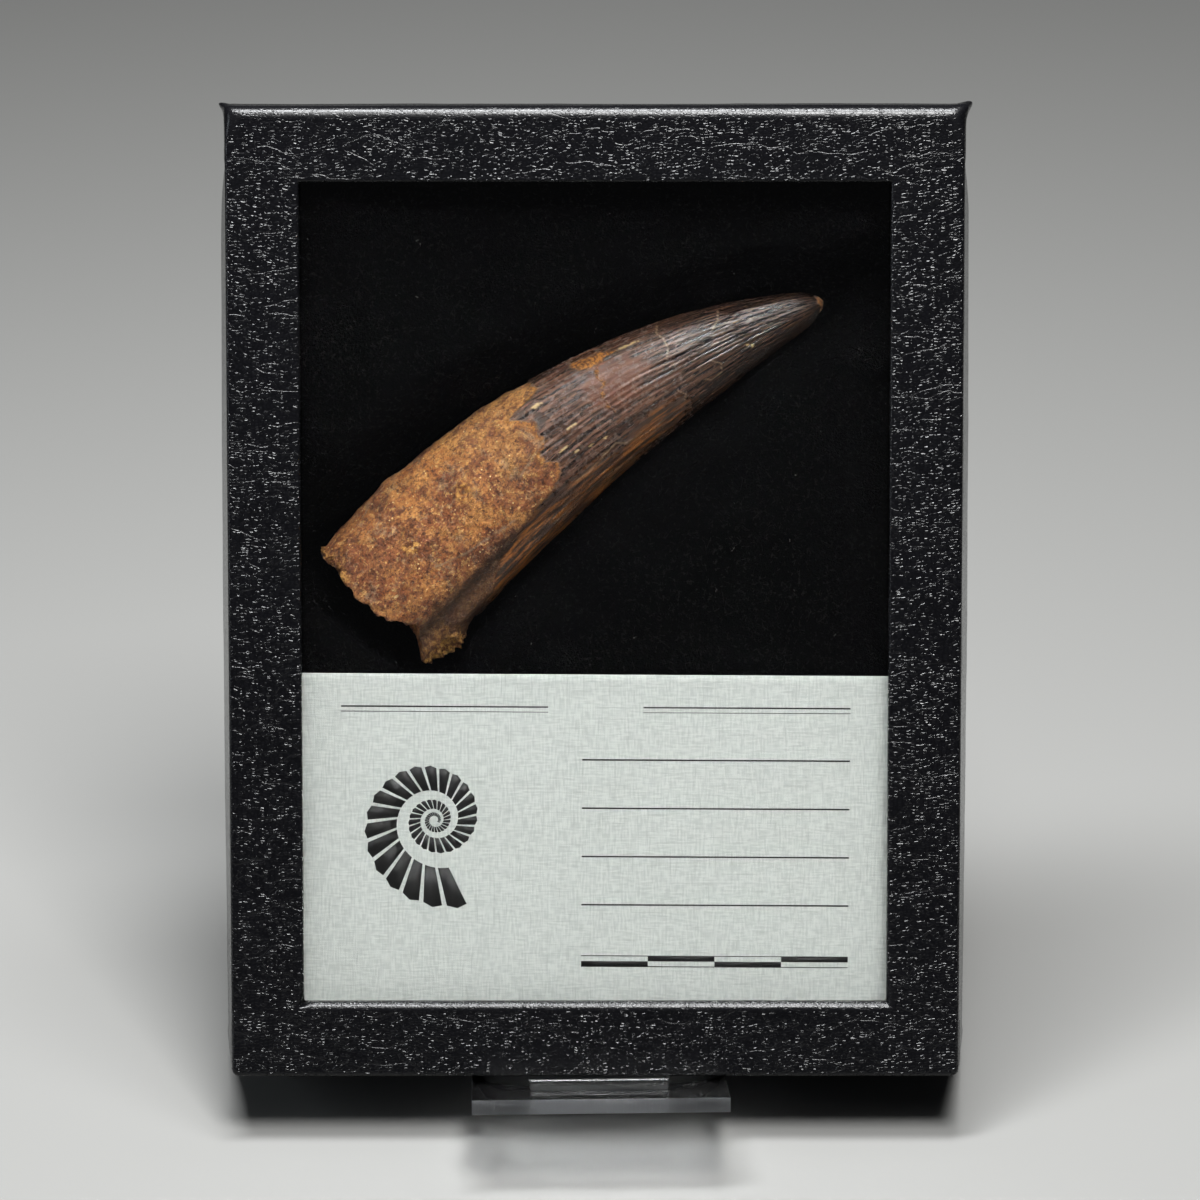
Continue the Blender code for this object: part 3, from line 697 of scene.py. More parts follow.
crumbly = np.maximum(smooth_step((0.018 - SHARE) / 0.010) * smooth_step((66 - around) / 12),
                     smooth_step((0.075 - SHARE + 0.02 * fine) / 0.02) * swelling(163, 17))
near_end = np.clip(crumbly, 0, 1)
flute_strength = 0.3 + 0.7 * smooth_step((around - 62) / 30) + 0.35 * smooth_step((30 - around) / 20)
flute_strength *= np.clip((1 - SHARE) / 0.16, 0, 1) * (0.75 + 0.5 * long_streaks)
flutes = 0.6 * np.cos(31 * ANGLE + 1.6 * coarse + 1.6 * long_streaks)
flutes += 0.8 * np.cos(64 * ANGLE + 2 * coarse)
flute_height = 0.11 * flutes * flute_strength + 0.10 * streaks
lumps = 0.38 * coarse + 0.2 * medium + 0.13 * fine + 0.09 * finest
pits = patch(0.78, 77, 0.8, 0.55, 0.3 * fine) + patch(0.795, 92, 0.9, 0.25, 0.4 * fine) * 0.5
pits += 0.8 * patch(0.262, 73, 0.45, 0.35, 0.5 * fine)
crater = 0.42 * ring_form(0.262, 73, 1.15, 0.35) - 0.45 * patch(0.262, 73, 0.75, 0.6, 0.5 * fine)
crater += 0.22 * patch(0.125, 77, 1.4, 1.0, 0.6 * fine, 0.5) * (0.5 + 2 * finest)
fade = smooth_step((0.42 - SHARE) / 0.12)
relief = lumps * (1 - 0.86 * enamel) + (flute_height + 0.15) * enamel + crater
relief += fade * (0.55 * swelling(148, 6) - 0.55 * swelling(133, 7))
spur = swelling(171, 16) * np.exp(-(((SHARE - 0.035) / 0.04) ** 2))
relief += 1.3 * spur + near_end * (0.8 * fine + 0.7 * finest + 0.5 * medium)
relief -= 0.55 * swelling(160, 15) * np.exp(-(((SHARE - 0.088 + 0.006 * medium) / 0.013) ** 2))
relief -= 0.16 * flake * enamel + 0.05 * rubbed + 0.12 * pits + 0.05 * np.clip(crack, 0, 1)
relief += 0.09 * edge_crust + 0.07 * np.clip(cream, 0, 1)
print("relief in mm, from and to", extent(relief))

# %% [markdown]
# The root is broken off, not cut, so its rim isn't level: it is notched and stands out in turns. Each notch
# is a rounded form at an angle, and the same noise roughens all of them.

# %% The broken rim
near_root = np.clip(1 - SHARE / 0.08, 0, 1)
rim = 2.1 * swelling(120, 13) - 2.2 * swelling(152, 12) + 2.2 * swelling(184, 14)
rim += 0.9 * swelling(285, 25) - 0.8 * swelling(82, 22)
rim_noise = np.array([noise.noise((4 * math.cos(a), 4 * math.sin(a), 7.0)) for a in ring_angles])
rim = rim + 0.7 * rim_noise[None, :] + 0.35 * medium[:1] + 0.25 * fine[:1] + 0.2 * finest[:1]
print("rim in mm, from and to", extent(rim))


# %% [markdown]
# The net becomes points on the bent cone. Further rings, each smaller and set deeper, close the broken end
# with rubble, and a last point closes the tip.


# %% The tooth's net of points
def tooth_points(share, angle, width, scale, push):
    """Points of the tooth in its own frame, in metres, from arrays that have one shape."""
    turn = share * TOOTH_LENGTH / TOOTH_BEND_RADIUS
    outwards = np.cos(angle) * width * scale
    x = np.sin(turn) * (TOOTH_BEND_RADIUS + outwards) + np.cos(turn) * push
    z = np.cos(turn) * (TOOTH_BEND_RADIUS + outwards) - TOOTH_BEND_RADIUS - np.sin(turn) * push
    y = -np.sin(angle) * width * scale * DEPTH_TO_WIDTH
    return listed(x, y, z) * MM


BROKEN_RINGS = 14
rows = []
end_width = (PLAIN_WIDTH + relief)[0]
for step in range(BROKEN_RINGS):
    scale = (step + 0.6) / (BROKEN_RINGS + 0.3)
    inside = [noise.noise((3 * scale * math.cos(a), 3 * scale * math.sin(a), 5.0)) for a in ring_angles]
    rubble = [noise.noise((11 * scale * math.cos(a), 11 * scale * math.sin(a), 9.0)) for a in ring_angles]
    hollow = 2.6 * (1 - scale**2) + 0.9 * np.array(inside) + 0.7 * np.array(rubble)
    sunk = rim[0] * scale + hollow
    rows.append(tooth_points(np.zeros_like(ring_angles), ring_angles, end_width, scale, sunk))
rows.append(tooth_points(SHARE, ANGLE, PLAIN_WIDTH + relief, 1.0, rim * near_root))
points = np.concatenate(rows)
ring_size = len(ring_angles)
faces = net_faces(len(points) // ring_size, ring_size)
root_middle, tip = len(points), len(points) + 1
last_ring = len(points) - ring_size
faces += [((step + 1) % ring_size, step, root_middle) for step in range(ring_size)]
faces += [(last_ring + step, last_ring + (step + 1) % ring_size, tip) for step in range(ring_size)]
ends = [(2.6 * MM, 0, 0), points[last_ring:].mean(axis=0) + np.array((0.45, 0, -0.2)) * MM]
fossil_tooth = mesh_piece("fossil_tooth", np.concatenate([points, ends]).tolist(), faces, TOOTH)
bm = bmesh.new()
bm.from_mesh(fossil_tooth.data)
bmesh.ops.recalc_face_normals(bm, faces=bm.faces)
bm.to_mesh(fossil_tooth.data)
bm.free()
print("tooth's points:", len(points))


# %% [markdown]
# The finish has to know the same zones as the shape, so they are stored on the points: four masks go into
# the red, green, blue and alpha of one attribute. A lengthwise coordinate is stored too.


# %% Masks stored on the tooth's points
def store(name, *masks):
    """Stores up to four masks as one colour for each point. The broken end counts as bare root."""
    values = np.zeros((len(points) + 2, 4), np.float32)
    first = BROKEN_RINGS * ring_size
    for channel, mask in enumerate(masks):
        values[first : len(points), channel] = np.clip(mask, 0, 1).ravel()
        values[-1, channel] = mask[-1, 0]
    attribute = fossil_tooth.data.attributes.new(name, "FLOAT_COLOR", "POINT")
    attribute.data.foreach_set("color", values.ravel())


store("zones", enamel, flake, amber, rubbed)
store("marks", crack + 0.7 * scratch, cream, crust, edge_crust)
crater_crumbs = ring_form(0.262, 73, 0.95, 0.35)
crater_crumbs += patch(0.125, 77, 1.3, 0.9, 0.6 * fine + 0.5 * finest, 0.5)
store("forms", 0.5 + 0.4 * flutes, fade * swelling(133, 9), pits, crater_crumbs)
upper_root = smooth_step((SHARE - 0.22 + 0.03 * coarse) / 0.2) * smooth_step((112 - around) / 25)
# The underside is darker partly in its own tone and partly as painted shade where less light reaches it.
underside_tone_and_shade = smooth_step((around - 108 - 8 * medium) / 30)
store("tones", upper_root, underside_tone_and_shade, near_end, smooth_step((SHARE - 0.62) / 0.25))
lay = np.zeros((len(points) + 2, 3), np.float32)
lay[BROKEN_RINGS * ring_size : len(points)] = listed(SHARE * TOOTH_LENGTH, DEGREES / 6, 0 * SHARE)
fossil_tooth.data.attributes.new("lay", "FLOAT_VECTOR", "POINT").data.foreach_set("vector", lay.ravel())
print("point layers:", [layer.name for layer in fossil_tooth.data.attributes if layer.domain == "POINT"])


# %% [markdown]
# The finish mixes the two materials by those masks, so it first reads them back by name.


# %% Reading the masks
MASKS = {
    "zones": ("enamel", "flake", "amber", "rubbed"),
    "marks": ("crack", "cream", "crust", "edge"),
    "forms": ("crest", "furrow", "pit", "crater"),
    "tones": ("upper", "under", "crumbly", "silver"),
}


def stored_masks(finish):
    """The masks stored on the tooth's points, by name."""
    masks = {}
    for attribute, names in MASKS.items():
        stored = finish.add("Attribute", attribute_name=attribute).node
        channels = finish.add("SeparateColor", {0: stored.outputs["Color"]}).node
        masks.update(zip(names, [*channels.outputs, stored.outputs["Alpha"]]))
    return masks


print("masks:", sum(len(names) for names in MASKS.values()))


# %% [markdown]
# Root bone is tan, mottled red-brown and ochre, with dark pores and pale grains. The tones are laid over a
# warm ground, from the broad ones to the fine ones, with painted shade along the crinkles, then the
# underside, darker in its own tone and further by painted shade, and the dark furrow. Some of the same
# noises raise its grain.


# %% Root bone
def root_bone(finish, place, lay, mask):
    """The root's colour, the height of its grain, and the ochre that shows where the crown is flaked."""
    lower = finish.levels(finish.add("SeparateXYZ", {0: lay}), 4.0, 22.0, 1.0, 0.0)
    broad = finish.grain(place, 150.0, 3.0)
    mid = finish.grain(place, 430.0, 5.0, 0.7)
    small = finish.grain(place, 1900.0, 3.0, 0.7)
    warm = finish.grain(place, 300.0, 4.0, 0.6)
    greyish = finish.grain(place, 330.0, 6.0, 0.8)
    flecks = finish.grain(place, 1100.0, 6.0, 0.8)
    grit = finish.add("TexVoronoi", {"Vector": place, "Scale": 2900.0})
    grit_tones = finish.add("SeparateColor", {0: grit.node.outputs["Color"]}).node.outputs
    pale_grain = finish.part(finish.levels(grit_tones[1], 0.975, 0.985), finish.levels(grit, 0.42, 0.28))
    crinkle = finish.ridges(finish.grain(finish.stretched(place, 1.0, 1.0, 1.6), 800.0, 4.0, 0.6), 0.03)
    bone = finish.blend(finish.levels(warm, 0.36, 0.62), colour(226, 156, 80), colour(192, 110, 48))
    bone = finish.over(bone, (
        (mask["upper"], 0.55, (226, 168, 98)),
        (finish.levels(broad, 0.42, 0.6), 0.6, (146, 82, 44)),
        (lower, 0.35, (128, 66, 34)),
        (finish.levels(mid, 0.5, 0.6), 0.8, (118, 58, 30)),
        (finish.levels(greyish, 0.53, 0.62), 0.5, (178, 154, 122)),
        (finish.levels(flecks, 0.54, 0.62), 0.85, (232, 178, 104)),
        (finish.levels(flecks, 0.47, 0.39), 0.85, (84, 42, 20)),
        (finish.levels(grit_tones[0], 0.0, 1.0), 0.3, (112, 64, 34)),
        # painted shade in the crinkles' creases, which the bump sinks too
        (finish.levels(crinkle, 0.0, 1.0, 1.0, 0.0), 0.6, (70, 36, 20)),
        (finish.levels(small, 0.58, 0.66), 0.6, (64, 34, 18)),
        (pale_grain, 1.0, (242, 206, 140)),
        # painted shade over the underside's own darker tone
        (mask["under"], 0.75, (70, 40, 12)),
        (mask["furrow"], 0.7, (46, 27, 10)),
    ))
    ochre = finish.blend(finish.levels(small, 0.42, 0.6), colour(208, 138, 56), colour(104, 56, 22))
    crumbs = finish.blend(finish.levels(flecks, 0.44, 0.58), colour(120, 66, 24), colour(240, 178, 88))
    for name, amount, tone in (("crumbly", 0.85, crumbs), ("edge", 0.7, ochre), ("crater", 0.85, crumbs)):
        bone = finish.blend(finish.part(mask[name], amount), bone, tone)
    height = finish.calc("ADD", small, finish.part(mid, 2.0))
    height = finish.calc("SUBTRACT", height, finish.part(grit, 0.7))
    print("nodes after the root bone:", len(finish.tree.nodes))
    return bone, finish.calc("ADD", height, finish.part(crinkle, 0.6)), ochre


# %% [markdown]
# Enamel is dark brown, darker in its grooves, and streaked along the tooth, so its noises are read from the
# stored lengthwise coordinate and drawn out along it. Amber and ochre show where it is thin or flaked.


# %% Enamel
def enamel_shell(finish, lay, mask, ochre):
    """The crown's colour and the height of its fine lines."""
    streak = finish.grain(finish.stretched(lay, 0.14, 1.3, 1.0), 1.0, 4.0, 0.65)
    hair = finish.grain(finish.stretched(lay, 0.3, 3.6, 1.0), 1.0, 3.0, 0.6)
    groove = finish.ridges(finish.grain(finish.stretched(lay, 0.16, 1.7, 1.0), 1.0, 3.0, 0.55), 0.035)
    wrinkle = finish.grain(finish.stretched(lay, 1.3, 2.4, 1.0), 1.0, 3.0, 0.6)
    shell = finish.blend(finish.levels(streak, 0.38, 0.62), colour(68, 42, 31), colour(126, 90, 72))
    shell = finish.over(shell, (
        (mask["silver"], 0.75, (38, 28, 24)),
        (finish.levels(mask["crest"], 0.1, 0.5, 1.0, 0.0), 0.75, (30, 17, 11)),
        (finish.levels(groove, 0.0, 1.0, 1.0, 0.0), 0.9, (20, 11, 7)),
        (finish.levels(hair, 0.6, 0.72), 0.6, (158, 112, 70)),
        (finish.levels(wrinkle, 0.56, 0.68), 0.35, (144, 112, 98)),
        # painted shade over the underside's own darker tone
        (mask["under"], 0.7, (34, 19, 8)),
        (mask["rubbed"], 0.55, (128, 82, 62)),
    ))
    rusty = finish.blend(finish.levels(streak, 0.4, 0.56), colour(178, 108, 34), colour(46, 24, 8))
    shell = finish.blend(finish.part(mask["amber"], 0.9), shell, rusty)
    shell = finish.blend(mask["flake"], shell, ochre)
    shell = finish.over(shell, ((mask["crust"], 0.75, (68, 57, 50)),))
    height = finish.calc("ADD", finish.part(hair, 0.1), finish.part(groove, 0.14))
    print("nodes after the enamel:", len(finish.tree.nodes))
    return shell, finish.calc("ADD", height, finish.part(wrinkle, 0.12))


# %% [markdown]
# The two meet along the enamel's edge. Cracks, specks and pits are laid over both, the enamel is glossier
# than the root, least so where it is amber or flaked, and each brings its own fine height.


# %% Finish of the tooth
def fossil():
    finish = Finish("fossil root and enamel", IOR=1.52, Specular_IOR_Level=0.72)
    mask = stored_masks(finish)
    lay = finish.add("Attribute", out="Vector", attribute_name="lay")
    bone, bone_height, ochre = root_bone(finish, finish.place(), lay, mask)
    shell, shell_height = enamel_shell(finish, lay, mask, ochre)
    skin = finish.over(finish.blend(mask["enamel"], bone, shell), (
        (mask["crack"], 0.6, (168, 144, 116)),
        (mask["cream"], 0.85, (218, 186, 132)),
        (mask["pit"], 0.7, (40, 32, 26)),
    ))
    finish.link(skin, "Base Color")
    gloss = finish.calc("SUBTRACT", mask["enamel"], finish.part(mask["amber"], 0.45))
    gloss = finish.calc("SUBTRACT", gloss, mask["flake"])
    worn = finish.levels(finish.grain(lay, 0.8, 4.0, 0.7), 0.3, 0.7, 0.0, 0.13)
    worn = finish.calc("SUBTRACT", worn, finish.part(mask["silver"], 0.08))
    finish.link(finish.calc("ADD", finish.levels(gloss, 0.0, 1.0, 0.75, 0.19), worn), "Roughness")
    finish.bump(finish.add("Mix", {0: gloss, 2: bone_height, 3: shell_height}), 0.00026)
    return finish


dress(fossil_tooth, fossil(), "fossil", "tooth")

# %% [markdown]
# ## Wadding
# Boxes of this kind are filled with fibrous wadding, black here. It is a soft mat, so it is made as one
# close net that sinks round the tooth, and then real loose fibres are laid over it, because a smooth
# black sheet would look like plastic.

# %% Where the wadding's surface lies
TRAY_WALL, GAP = 1.5 * MM, 0.3 * MM
GLASS_BACK = -CASE_DEPTH + LID_FACE + GAP + 2.0 * MM
FREE_Y = -20.9 * MM
HALF_X = CASE_WIDTH / 2 - LID_WALL - GAP - TRAY_WALL - GAP
HALF_Z = CASE_HEIGHT / 2 - LID_WALL - GAP - TRAY_WALL - GAP
CRADLE_CLEARANCE, CRADLE_SLOPE, CRADLE_END, CRADLE_LIP = 0.9, 8.0, 4.0, 1.0
PAD_COLUMNS, PAD_ROWS = 190, 256


def share_and_offset(x, z):
    """Share of the tooth's length, and millimetres outside its middle line, at places on the box's face."""
    dx, dz = x / MM - TOOTH_PLACE.x / MM, z / MM - TOOTH_PLACE.z / MM
    along = dx * math.cos(TOOTH_RISE) + dz * math.sin(TOOTH_RISE)
    up = -dx * math.sin(TOOTH_RISE) + dz * math.cos(TOOTH_RISE) + TOOTH_BEND_RADIUS
    return np.arctan2(along, up) * TOOTH_BEND_RADIUS / TOOTH_LENGTH, np.hypot(along, up) - TOOTH_BEND_RADIUS


def wadding_depth(x, z):
    """Depth of the wadding's surface at places on the box's face."""
    share, offset = share_and_offset(x, z)
    width = smooth_through(np.clip(share, 0, 1), WIDTH_AT, HALF_WIDTH) + CRADLE_CLEARANCE
    width = width + 1.8 * smooth_step((0.12 - share) / 0.12)
    beyond = np.maximum(np.maximum(-share, share - 1), 0) * TOOTH_LENGTH
    reach = np.hypot(offset / width, beyond / CRADLE_END)
    lip = TOOTH_PLACE.y - CRADLE_LIP * MM
    outside = lip + (FREE_Y - lip) * smooth_step((reach - 1) * width / CRADLE_SLOPE)
    depth = (width - CRADLE_CLEARANCE / 2) * DEPTH_TO_WIDTH + CRADLE_LIP
    inside = lip + depth * MM * np.sqrt(np.clip(1 - reach**2, 0, 1))
    return np.where(reach > 1, outside, np.minimum(inside, -2.6 * MM))


print("wadding under the tooth's middle, in mm:", round(float(wadding_depth(0.0, 0.1)) / MM, 1))


# %% [markdown]
# The net is closed by walls and a back, so that it is a solid mat. Noise at three sizes tufts its front.


# %% The wadding
def make_wadding():
    u, v = np.meshgrid(np.linspace(-1, 1, PAD_COLUMNS), np.linspace(-1, 1, PAD_ROWS))
    x, z = u * HALF_X, MIDDLE_Z + v * HALF_Z
    y = wadding_depth(x, z)
    tufts = [
        0.40 * noise.noise((a * 60, b * 60, 1)) + 0.25 * noise.noise((a * 190, b * 190, 2))
        + 0.16 * noise.noise((a * 520, b * 520, 3))
        for a, b in zip(x.ravel().tolist(), z.ravel().tolist())
    ]
    y = y + np.array(tufts).reshape(y.shape) * MM
    surface = listed(x, y, z)
    piece = mesh_piece("wadding", surface.tolist(), net_faces(PAD_ROWS, PAD_COLUMNS, closed_columns=False))
    print("tufts up to", round(max(tufts), 2), "mm")
    bm = bmesh.new()
    bm.from_mesh(piece.data)
    rim_edges = [edge for edge in bm.edges if edge.is_boundary]
    walls = bmesh.ops.extrude_edge_only(bm, edges=rim_edges)
    for vert in (item for item in walls["geom"] if isinstance(item, bmesh.types.BMVert)):
        vert.co.y = -TRAY_WALL - GAP
    bmesh.ops.contextual_create(bm, geom=[edge for edge in bm.edges if edge.is_boundary])
    bmesh.ops.recalc_face_normals(bm, faces=bm.faces)
    bm.to_mesh(piece.data)
    bm.free()
    return piece


# %% [markdown]
# Each loose fibre is a narrow bent ribbon of four short quads, 2 to 6 mm long, arched up to half a
# millimetre over the surface. All of them are one mesh, and a few short grey bits of lint another. The
# seeded random numbers give the same fibres on every run.

# %% Loose fibres
FIBRES, FIBRE_STEPS = 17000, 4
FIBRE_WIDTH = 0.045 * MM
LINT, LINT_WIDTH = 90, 0.07 * MM


def make_fibres(name, count, seed, width, reach=1.0):
    rng = np.random.default_rng(seed)
    x = rng.uniform(-HALF_X + 2 * MM, HALF_X - 2 * MM, count)
    z = MIDDLE_Z + rng.uniform(-HALF_Z + 2 * MM, HALF_Z - 2 * MM, count)
    heading = rng.uniform(0, 2 * math.pi, count)
    curl = rng.normal(0, 0.45, count)
    step = rng.uniform(0.5, 1.4, count) * reach * MM
    wide = width * rng.uniform(0.6, 1.3, count)
    stand = rng.uniform(0.05, 0.45, count) * MM
    rows = []
    for index in range(FIBRE_STEPS + 1):
        arch = stand * math.sin(math.pi * (index + 0.4) / (FIBRE_STEPS + 0.8))
        y = wadding_depth(x, z) - arch - 0.1 * MM
        side = np.stack([-np.sin(heading), np.zeros(count), np.cos(heading)], axis=-1)
        middle = np.stack([x, y, z], axis=-1)
        rows += [middle + side * wide[:, None], middle - side * wide[:, None]]
        x, z = x + np.cos(heading) * step, z + np.sin(heading) * step
        x, z = np.clip(x, -HALF_X, HALF_X), np.clip(z, MIDDLE_Z - HALF_Z, MIDDLE_Z + HALF_Z)
        heading = heading + curl * rng.uniform(0.3, 1.7, count)
    points = np.stack(rows, axis=1).reshape(-1, 3)
    each = 2 * (FIBRE_STEPS + 1)
    faces = [
        (start + 2 * k, start + 2 * k + 1, start + 2 * k + 3, start + 2 * k + 2)
        for start in range(0, count * each, each)
        for k in range(FIBRE_STEPS)
    ]
    print(name, "arch by up to", round(float(stand.max()) / MM, 2), "mm")
    return mesh_piece(name, points.tolist(), faces)


# %% [markdown]
# Wadding, fibres and lint are the same dull stuff in three tones. It takes in nearly all light, so its
# specular level is close to nothing.


# %% Fibre finish
def black_fibre(name, dark, light):
    finish = Finish(name, Roughness=0.9, Specular_IOR_Level=0.04)
    patches = finish.grain(finish.place(), 1500.0, 3.0, 0.6)
    finish.link(finish.blend(finish.levels(patches, 0.5, 0.62), dark, light), "Base Color")
    finish.bump(finish.grain(finish.place(), 2600.0, 3.0, 0.7), 0.0003)
    return finish


wadding = make_wadding()
black_wadding = black_fibre("black wadding", (0.0008, 0.0008, 0.0009, 1), (0.0022, 0.0022, 0.0024, 1))
dress(wadding, black_wadding, "wadding", "padding")
black_fibres = black_fibre("black fibres", (0.0008, 0.0008, 0.0008, 1), (0.015, 0.0145, 0.014, 1))
dress(make_fibres("wadding_fibres", FIBRES, 11, FIBRE_WIDTH), black_fibres, "wadding")
grey_lint = black_fibre("grey lint", (0.004, 0.004, 0.004, 1), (0.16, 0.155, 0.15, 1))
dress(make_fibres("lint", LINT, 5, LINT_WIDTH, 0.2), grey_lint, "wadding")

# %% [markdown]
# ## The card
# The card is taken to be a standard one of 88.9 x 50.8 mm, in pale linen-finish stock. The sheet bows very
# slightly, which is shape: one curved net of faces, thickened by Solidify, its cut edges eased by Bevel.

# %% Card
CARD_WIDTH, CARD_HEIGHT, CARD_THICKNESS = 88.9 * MM, 50.8 * MM, 0.4 * MM
CARD_MIDDLE_Z, CARD_SLANT = 34.6 * MM, math.radians(0.34)
CARD = CASE @ Matrix.Translation((0, GLASS_BACK + GAP, CARD_MIDDLE_Z)) @ Matrix.Rotation(CARD_SLANT, 4, "Y")
CARD_COLUMNS, CARD_ROWS = 90, 52


def card_bow(x, z):
    """How far the card stands back from the glass."""
    return 0.12 * MM * (1 - np.cos(1.6 * x / CARD_WIDTH)) + 0.05 * MM * (1 - np.cos(2 * z / CARD_HEIGHT))


def make_card():
    u, v = np.meshgrid(np.linspace(-0.5, 0.5, CARD_COLUMNS), np.linspace(-0.5, 0.5, CARD_ROWS))
    x, z = u * CARD_WIDTH, v * CARD_HEIGHT
    front_points = listed(x, card_bow(x, z), z)
    quads = net_faces(CARD_ROWS, CARD_COLUMNS, closed_columns=False)
    piece = mesh_piece("museum_card", front_points.tolist(), quads, CARD)
    thick = piece.modifiers.new("Stock", "SOLIDIFY")
    thick.thickness = CARD_THICKNESS
    thick.offset = -1 if piece.data.polygons[0].normal.y < 0 else 1
    edge = piece.modifiers.new("Cut edge", "BEVEL")
    edge.width = 0.05 * MM
    edge.limit_method = "ANGLE"
    return piece


print("card stands back by up to", round(float(card_bow(CARD_WIDTH / 2, CARD_HEIGHT / 2)) / MM, 3), "mm")


# %% [markdown]
# The linen finish is an embossed cross-hatch of a few threads to the millimetre, too fine for points, so it
# is bump and a little tone: noise drawn out along each thread direction raises the threads, and the same
# noise paints them lighter on their crests and darker between, as painted light and shade. A second such
# noise makes some threads darker than others.


# %% Linen finish
def linen():
    finish = Finish("linen card", Roughness=0.62, Specular_IOR_Level=0.3)
    place = finish.place()
    warp = finish.grain(finish.stretched(place, 3600, 1, 500), 1.0, 1.0)
    weft = finish.grain(finish.stretched(place, 500, 1, 3600), 1.0, 1.0)
    dark_warp = finish.levels(finish.grain(finish.stretched(place, 2900, 1, 150), 1.0, 1.0), 0.6, 0.72)
    dark_weft = finish.levels(finish.grain(finish.stretched(place, 150, 1, 2900), 1.0, 1.0), 0.6, 0.72)
    threads = finish.calc("ADD", warp, weft)
    # painted light and shade: the threads are lighter on their raised crests and darker between them
    stock_and_painted_shade = finish.blend(finish.levels(threads, 0.75, 1.25), colour(209, 213, 208), colour(229, 232, 227))
    dark = finish.calc("MAXIMUM", dark_warp, dark_weft)
    stock_and_painted_shade = finish.blend(finish.calc("MULTIPLY", dark, 0.18), stock_and_painted_shade, colour(148, 154, 148))
    finish.link(stock_and_painted_shade, "Base Color")
    finish.bump(threads, 0.00003)
    return finish


dress(make_card(), linen(), "linen_card", "label_card")

# %% [markdown]
# The card carries a plain printed design: a coiled shell in silhouette, ruled lines to write on, and a
# scale bar in centimetres. Ink lies on the surface, so each shape is a thin solid of its own outline. The
# shell is a growing spiral cut into ribs.

# %% Shapes in ink
INK_RAISE, INK_THICKNESS = 0.012 * MM, 0.014 * MM
SHELL_MIDDLE, SHELL_RADIUS = (-24.0, 3.4), 13.5
RIBS, TURNS, GROWTH = 66, 2.9, 0.155


def ink_solid(outlines):
    """Closed thin solids from flat outlines in card millimetres, as one mesh."""
    points, faces = [], []
    for outline in outlines:
        start, size = len(points), len(outline)
        for lift in (INK_RAISE, INK_RAISE + INK_THICKNESS):
            for x, z in outline:
                points.append((x * MM, card_bow(x * MM, z * MM) - lift, z * MM))
        faces.append(tuple(range(start, start + size)))
        faces.append(tuple(range(start + 2 * size - 1, start + size - 1, -1)))
        for index in range(size):
            after = (index + 1) % size
            faces.append((start + after, start + index, start + size + index, start + size + after))
    return points, faces


def bar(x0, x1, z0, z1):
    return [(x0, z0), (x1, z0), (x1, z1), (x0, z1)]


def rib(number):
    """One rib of the shell: a curved block between two whorls of the spiral."""
    outline, (middle_x, middle_z) = [], SHELL_MIDDLE
    turn0, turn1 = number * TURNS / RIBS, (number + 0.8) * TURNS / RIBS
    for share in (0.0, 0.5, 1.0):
        turn = turn0 + (turn1 - turn0) * share
        outline.append((turn + 0.012, 1.0 + (0.035 if share == 0.5 else 0.0)))
    for share in (1.0, 0.75, 0.5, 0.25, 0.0):
        turn = turn0 + (turn1 - turn0) * share
        outline.append((turn, 0.56))
    shape = []
    for turn, reach in outline:
        radius = SHELL_RADIUS * math.exp(-GROWTH * 2 * math.pi * (TURNS - turn)) * reach
        angle = 2 * math.pi * turn - 0.6
        shape.append((middle_x + radius * math.cos(angle), middle_z + radius * math.sin(angle)))
    return shape


print("points in one rib:", len(rib(0)))

# %% [markdown]
# The lines and the scale bar share one left and one right edge. The bar's blocks step up and down between
# two thin rules, so that they can be counted, and each is 10 mm long. A double rule runs along the top.

# %% Printed design
LEFT, RIGHT, BLOCK = -2.0, 38.0, 10.0
BAR_LOW, BAR_STEP = -18.6, 0.75
design = [rib(number) for number in range(RIBS)]
design += [bar(LEFT, RIGHT, z, z + 0.22) for z in (12.5, 5.2, -2.1, -9.4)]
for step in range(round((RIGHT - LEFT) / BLOCK)):
    low, begin = BAR_LOW + BAR_STEP * (step % 2), LEFT + BLOCK * step
    design.append(bar(begin, begin + BLOCK, low, low + BAR_STEP))
design += [bar(LEFT, RIGHT, -18.72, BAR_LOW), bar(LEFT, RIGHT, -17.1, -16.98)]
design += [bar(-38.0, 38.0, 20.4, 20.62), bar(-38.0, 38.0, 19.7, 19.8)]
ink = Finish("black ink", Roughness=0.55)
ink_mottle = ink.grain(ink.place(), 2500.0, 3.0, 0.6)
ink.link(ink.blend(ink_mottle, colour(20, 19, 20), colour(36, 34, 34)), "Base Color")
ink.bump(ink_mottle, 0.00001)
dress(mesh_piece("printed_design", *ink_solid(design), CARD), ink, "linen_card")

# %% [markdown]
# ## Tray
# The tray is a packed node, an open card box whose back is what one sees from behind. It is covered in
# black paper without the leather grain: short fibres, with a few paler scuffs.


# %% Tray paper
def tray_paper():
    finish = Finish("black card", Specular_IOR_Level=0.4)
    place = finish.place()
    fibre = finish.grain(finish.stretched(place, 1, 1, 0.5), 1500.0, 4.0, 0.65)
    scuff = finish.levels(finish.grain(place, 55.0, 6.0, 0.7), 0.6, 0.8, 0.0, 0.6)
    tone = finish.blend(fibre, colour(22, 22, 23), colour(36, 36, 38))
    finish.link(finish.blend(scuff, tone, colour(58, 58, 60)), "Base Color")
    finish.link(finish.levels(fibre, 0.3, 0.7, 0.6, 0.8), "Roughness")
    finish.bump(fibre, 0.00006)
    return finish


refinish("tray", tray_paper())

# %% [markdown]
# ## Easel
# The easel is one strip of clear acrylic with a tongue cut from its middle. Its ledge carries the box, its
# back rests behind it, and the tongue bends back as the leg. The strip is drawn as one sheet of faces along
# its bent length, on the side of the box. Solidify thickens it away from the box and gives the rim its own
# finish: sawn edges are slightly frosted and catch the light, as the ledge's front edge does in the photo.

